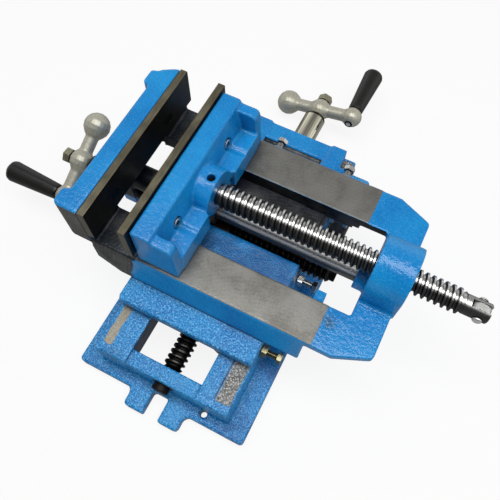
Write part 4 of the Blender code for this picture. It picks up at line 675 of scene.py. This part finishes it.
def hexagon_cutter(place, width, low, high):
    bm = bmesh.new()
    corner = width / 2 / math.cos(math.pi / 6)
    bmesh.ops.create_cone(bm, cap_ends=True, segments=6, radius1=corner, radius2=corner, depth=high - low)
    bmesh.ops.transform(bm, matrix=place @ Matrix.Translation((0, 0, (low + high) / 2)), verts=bm.verts)
    return cutting_tool(bm)


black_screw = worked_metal("black_screw_steel", screen(48, 46, 44), rough=0.40, often=1600)
for name in ("fixed_jaw_plate", "moving_jaw_plate"):
    soft_edges(parts[name], width=0.0003)
    dress(parts[name], jaw_steel(name))
for name in ("fixed_plate_screw_front", "fixed_plate_screw_rear"):
    dress(parts[name], black_screw)

SOCKET_WIDTH, SOCKET_DEPTH = 0.0042, 0.0026
SHANK, SHANK_END, SHANK_CHAMFER = 0.0028, 0.0024, 0.0005
HEAD_DEPTH, HEAD_EDGE = 0.0046, 0.0004
CUT_ABOVE = 0.002
socket_steel = worked_metal("socket_screw_steel", screen(206, 206, 202), rough=0.26, often=1500)
for label in ("front", "rear"):
    node = "moving_plate_screw_" + label
    low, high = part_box(node)
    middle = (low + high) / 2
    place = along("X", Vector((low.x, middle.y, middle.z)))
    length = high.x - low.x
    head = (high.y - low.y) / 2
    rim = head - 0.0005
    seat = length - HEAD_DEPTH
    screw = turned_bar("jaw_socket_screw_" + label, place, [
        (0, 0, 0, SHANK_END), (0, SHANK_CHAMFER, SHANK_END, SHANK), (SHANK_CHAMFER, seat, SHANK, SHANK),
        (seat, seat, SHANK, head), (seat, length - HEAD_EDGE, head, head),
        (length - HEAD_EDGE, length, head, rim), (length, length, rim, 0)],
        socket_steel, "moving_jaw", node, around=36)
    carve(screw, hexagon_cutter(place, SOCKET_WIDTH, length - SOCKET_DEPTH, length + CUT_ABOVE))

GRUB_SOCKET_WIDTH, GRUB_SOCKET_DEPTH = 0.003, 0.003
GRUB_POINT, GRUB_EDGE = 0.0012, 0.0004
low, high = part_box("nose_grub_screw")
middle = (low + high) / 2
place = along("Z", Vector((middle.x, middle.y, low.z)))
length, radius = high.z - low.z, (high.x - low.x) / 2
grub = turned_bar("nose_grub", place, [
    (0, 0, 0, radius * 0.6), (0, GRUB_POINT, radius * 0.6, radius),
    (GRUB_POINT, length - GRUB_EDGE, radius, radius),
    (length - GRUB_EDGE, length, radius, radius - GRUB_EDGE), (length, length, radius - GRUB_EDGE, 0)],
    black_screw, "moving_jaw", "nose_grub_screw", around=32)
carve(grub, hexagon_cutter(place, GRUB_SOCKET_WIDTH, length - GRUB_SOCKET_DEPTH, length + CUT_ABOVE))

# Moving jaw casting
# An L of cast iron with end ribs, two foot pads and a boss that holds the clamp screw's nose.
# Blue enamel, scraped bare under the pads.
jaw_low, jaw_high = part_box("moving_jaw_casting")
jaw_finish = enamelled_iron("moving_jaw_enamel", [
    bare_or_shade((jaw_low.x - 0.001, jaw_low.y, jaw_low.z - 0.001), (jaw_high.x + 0.001, jaw_high.y, BED_TOP + 0.0006),
          scraped),
], speckle=0.12, orange=1.0)
cast_skin(parts["moving_jaw_casting"], voxel=0.0009, rounds=4, keep=0.7)
dress(parts["moving_jaw_casting"], jaw_finish)

# Clamp screw with its pin and handle tongue
# A bright trapezoid screw; its grooves are painted dark, partly as old oil and partly as painted shade, less so
# along the lamp's highlight, and its front side gets painted shade.
# Its slotted outer end holds a tongue on a pin.
screw_low, screw_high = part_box("clamp_screw")
clamp_middle = (screw_low + screw_high) / 2
CLAMP_CREST = 0.00985
CLAMP_ROOT = 0.0074
CLAMP_PITCH = 0.005
CLAMP_NECK = 0.00775
CLAMP_NOSE = 0.007
CLAMP_CHAMFER = 0.001
NOSE_LENGTH = 0.0203
THREAD_END_X = BODY_X + 0.267
SLOT_HALF, SLOT_DEEP = 0.003, 0.015
clamp_steel = worked_metal("clamp_screw_steel", screen(238, 238, 236), rough=0.30, often=1200, depth=0.15,
                           spots=0.15, grime_and_shade=("x", tuple(clamp_middle), CLAMP_ROOT, CLAMP_CREST,
                                              screen(12, 10, 9), 0.22))
thread_length = THREAD_END_X - (screw_low.x + NOSE_LENGTH)
full_length = screw_high.x - screw_low.x
clamp_place = along("X", Vector((screw_low.x, clamp_middle.y, clamp_middle.z)))
clamp_piece = turned_bar("clamp_screw_bar", clamp_place, [
    (0, 0, 0, CLAMP_NOSE - CLAMP_CHAMFER), (0, CLAMP_CHAMFER, CLAMP_NOSE - CLAMP_CHAMFER, CLAMP_NOSE),
    (CLAMP_CHAMFER, NOSE_LENGTH, CLAMP_NOSE, CLAMP_NOSE), (NOSE_LENGTH, NOSE_LENGTH, CLAMP_NOSE, CLAMP_ROOT),
    (NOSE_LENGTH, NOSE_LENGTH + thread_length, CLAMP_ROOT, CLAMP_CREST, CLAMP_PITCH),
    (NOSE_LENGTH + thread_length, full_length - CLAMP_CHAMFER, CLAMP_NECK, CLAMP_NECK),
    (full_length - CLAMP_CHAMFER, full_length, CLAMP_NECK, CLAMP_NECK - CLAMP_CHAMFER),
    (full_length, full_length, CLAMP_NECK - CLAMP_CHAMFER, 0)],
    clamp_steel, "clamp_screw_body", "clamp_screw", around=64)


def box_cutter(low, high):
    bm = bmesh.new()
    bmesh.ops.create_cube(bm, size=1.0)
    for vert in bm.verts:
        vert.co = [a + (c + 0.5) * (b - a) for a, b, c in zip(low, high, vert.co)]
    return cutting_tool(bm)


carve(clamp_piece, box_cutter((screw_high.x - SLOT_DEEP, clamp_middle.y - SLOT_HALF, clamp_middle.z - 0.02),
                              (screw_high.x + 0.01, clamp_middle.y + SLOT_HALF, clamp_middle.z + 0.02)))
pin_steel = worked_metal("pin_steel", screen(236, 236, 232), rough=0.28, often=1400, metallic=0.75, banding=0.8)
for name in ("swivel_pin", "handle_tongue"):
    soft_edges(parts[name], width=0.0003)
    dress(parts[name], pin_steel)

# Thrust collars
# A plated steel sleeve on each feed screw between the bearing wall and the crank.
# It is polished lengthwise, and a narrow ring next to the crank is painted dark as the crank hub's shadow.
SHADOW_RING = 0.003
for name, lengthwise in (("x_thrust_collar", (0.02, 1, 1)), ("y_thrust_collar", (1, 0.02, 1))):
    low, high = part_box(name)
    if name[0] == "x":
        shadow_ring = (low, Vector((low.x + SHADOW_RING, high.y, high.z)))
    else:
        shadow_ring = (Vector((low.x, high.y - SHADOW_RING, low.z)), high)
    plated = worked_metal(name + "_plating", screen(244, 240, 218), rough=0.14, stretch=lengthwise, often=230,
                          depth=0.0, spots=0.0, banding=0.46, ring=shadow_ring)
    soft_edges(parts[name], width=0.0008)
    dress(parts[name], plated)

# Ball cranks and their nuts
# Cast arms with a ball at each end, sprayed silver over a rough skin.
# Each is held on its screw by a hexagon nut.
crank_silver = worked_metal("silver_crank_paint", screen(200, 197, 180), rough=0.47, often=620, depth=0.6,
                            metallic=0.62, banding=0.78)
nut_steel = worked_metal("crank_nut_steel", screen(196, 192, 164), rough=0.30, often=1300)
for prefix in ("x", "y"):
    cast_skin(parts[prefix + "_crank_arm"], voxel=0.0006, rounds=5)
    dress(parts[prefix + "_crank_arm"], crank_silver)
    dress(parts[prefix + "_crank_nut"], nut_steel)
    soft_edges(parts[prefix + "_crank_nut"], width=0.0005)

# Grips
# Moulded black plastic handles that spin on steel spindles.
# Each spindle is riveted over in a countersink on the far side of its ball, where a black disc round the rivet
# is painted shade.
grip_plastic = worked_metal("grip_plastic", screen(12, 11, 8), rough=0.38, often=500, depth=0.2, metallic=0.0)
# The radius of each, and how far from the ball's centre it starts and ends
SHADE_DISC_RADIUS, SHADE_DISC_BACK, SHADE_DISC_FACE = 0.0040, 0.0070, 0.0098
RIVET_RADIUS, RIVET_BACK, RIVET_SHOULDER = 0.0022, 0.0072, 0.0102
for prefix, ball, away in (("y", (0.034248, 0.188, 0.033217), "-Y"), ("x", (-0.164, -0.021875, 0.04154), "X")):
    dress(parts[prefix + "_grip"], grip_plastic)
    dress(parts[prefix + "_grip_spindle"], pin_steel)
    place = along(away, Vector(ball))
    # A black disc in the countersink round the rivet: painted shade.
    turned_bar(prefix + "_countersink_shade_disc", place, [
        (SHADE_DISC_BACK, SHADE_DISC_BACK, 0, SHADE_DISC_RADIUS), (SHADE_DISC_BACK, 0.0097, SHADE_DISC_RADIUS, SHADE_DISC_RADIUS),
        (SHADE_DISC_FACE, SHADE_DISC_FACE, SHADE_DISC_RADIUS, 0)], black_screw, prefix + "_screw", None, around=24)
    turned_bar(prefix + "_spindle_rivet", place, [
        (RIVET_BACK, RIVET_BACK, 0, RIVET_RADIUS), (RIVET_BACK, RIVET_SHOULDER, RIVET_RADIUS, RIVET_RADIUS),
        (0.0108, 0.0112, 0.0016, 0.0008), (0.0113, 0.0113, 0.0004, 0)],
        pin_steel, prefix + "_screw", None, around=24)

# Floor
# A pale seamless studio floor, far wider than the view.
# The camera sees it white, and the vise still lays its shadow on it.
FLOOR_REACH = 40.0
FLOOR_GAP = 0.0002
floor_mesh = bpy.data.meshes.new("studio_floor")
bm = bmesh.new()
bmesh.ops.create_grid(bm, x_segments=1, y_segments=1, size=FLOOR_REACH)
bm.to_mesh(floor_mesh)
bm.free()
floor = bpy.data.objects.new("studio_floor", floor_mesh)
floor.location = (0, 0, -FLOOR_GAP)
scene.collection.objects.link(floor)
floor_finish = bpy.data.materials.new("studio_white")
floor_finish.use_nodes = True
tree = floor_finish.node_tree
path = wire(tree, "LightPath").outputs
seen = calc(tree, "MAXIMUM", path["Is Camera Ray"], path["Is Transmission Ray"])
direct = calc(tree, "MAXIMUM", path["Is Glossy Ray"], seen)
matt = wire(tree, "BsdfDiffuse", {}, {"Color": screen(244, 244, 244)})
glow = wire(tree, "Emission", {}, {"Color": (1, 1, 1, 1), "Strength": span(tree, seen, 0.0, 1.0, 0.30, 1.0)})
mixed = wire(tree, "MixShader", {}, (calc(tree, "MULTIPLY", direct, 0.88), matt.outputs[0], glow.outputs[0]))
tree.links.new(mixed.outputs[0], tree.nodes["Material Output"].inputs["Surface"])
floor_mesh.materials.append(floor_finish)

# Light
# One wide soft lamp overhead and a weaker one from the front, in a pale room.
# In reflections the room darkens overhead and toward the front, as a photographer's dark cards do.
ROOM_GREY = 0.24
world = bpy.data.worlds.new("studio")
scene.world = world
world.use_nodes = True
tree = world.node_tree
path = wire(tree, "LightPath").outputs
way = wire(tree, "SeparateXYZ", {}, (wire(tree, "TexCoord").outputs["Generated"],)).outputs
overhead_dark = span(tree, way[2], 0.20, 0.93, 1.0, 0.16)
front_dark = span(tree, way[1], -0.75, -0.12, 0.08, 1.0)
sky = calc(tree, "MULTIPLY", overhead_dark, front_dark)
sky = wire(tree, "CombineXYZ", {}, (sky, sky, sky)).outputs[0]
sky = tint(tree, path["Is Camera Ray"], sky, (1, 1, 1, 1))
direct = calc(tree, "MAXIMUM", path["Is Camera Ray"],
              calc(tree, "MAXIMUM", path["Is Glossy Ray"], path["Is Transmission Ray"]))
room = tint(tree, direct, (ROOM_GREY, ROOM_GREY, ROOM_GREY, 1), sky)
tree.links.new(room, tree.nodes["Background"].inputs["Color"])
LIT_POINT = Vector((0, 0, 0.05))
for name, wide, deep, watts, place in (
        ("overhead", 1.4, 0.45, 9.7, Vector((0.10, -0.02, 1.10))),
        ("front_fill", 0.5, 0.5, 0.45, Vector((-0.5, -0.9, 0.7)))):
    data = bpy.data.lights.new(name, "AREA")
    data.shape = "RECTANGLE"
    data.size = wide
    data.size_y = deep
    data.energy = watts
    lamp = bpy.data.objects.new(name, data)
    lamp.location = place
    facing = (place - LIT_POINT).normalized()
    along_x = (Vector((1, 0, 0)) - facing * facing.x).normalized()
    lamp.matrix_world = (Matrix.Translation(place)
                         @ Matrix((along_x, facing.cross(along_x), facing)).transposed().to_4x4())
    scene.collection.objects.link(lamp)

# Camera
# Stands where the photographer stood: high in front, a little to the right of the jaws.
# Its place and focal length come from edges of the vise that were matched to the photograph.
AZIMUTH, ELEVATION, ROLL = math.radians(26.43), math.radians(65.01), math.radians(0.59)
CAMERA_PLACE = (0.10407, -0.18007, 0.48749)
FOCAL_LENGTH = 40.23
back = Vector((math.sin(AZIMUTH) * math.cos(ELEVATION), -math.cos(AZIMUTH) * math.cos(ELEVATION),
               math.sin(ELEVATION)))
right = Vector((0, 0, 1)).cross(back).normalized()
up = back.cross(right)
right, up = right * math.cos(ROLL) + up * math.sin(ROLL), up * math.cos(ROLL) - right * math.sin(ROLL)
camera_data = bpy.data.cameras.new("photo_camera")
camera_data.sensor_width = 36.0
camera_data.lens = FOCAL_LENGTH
camera_data.clip_start, camera_data.clip_end = 0.01, 20.0
camera = bpy.data.objects.new("photo_camera", camera_data)
scene.collection.objects.link(camera)
camera.matrix_world = Matrix.Translation(CAMERA_PLACE) @ Matrix((right, up, back)).transposed().to_4x4()
scene.camera = camera
scene.view_settings.view_transform = "Standard"
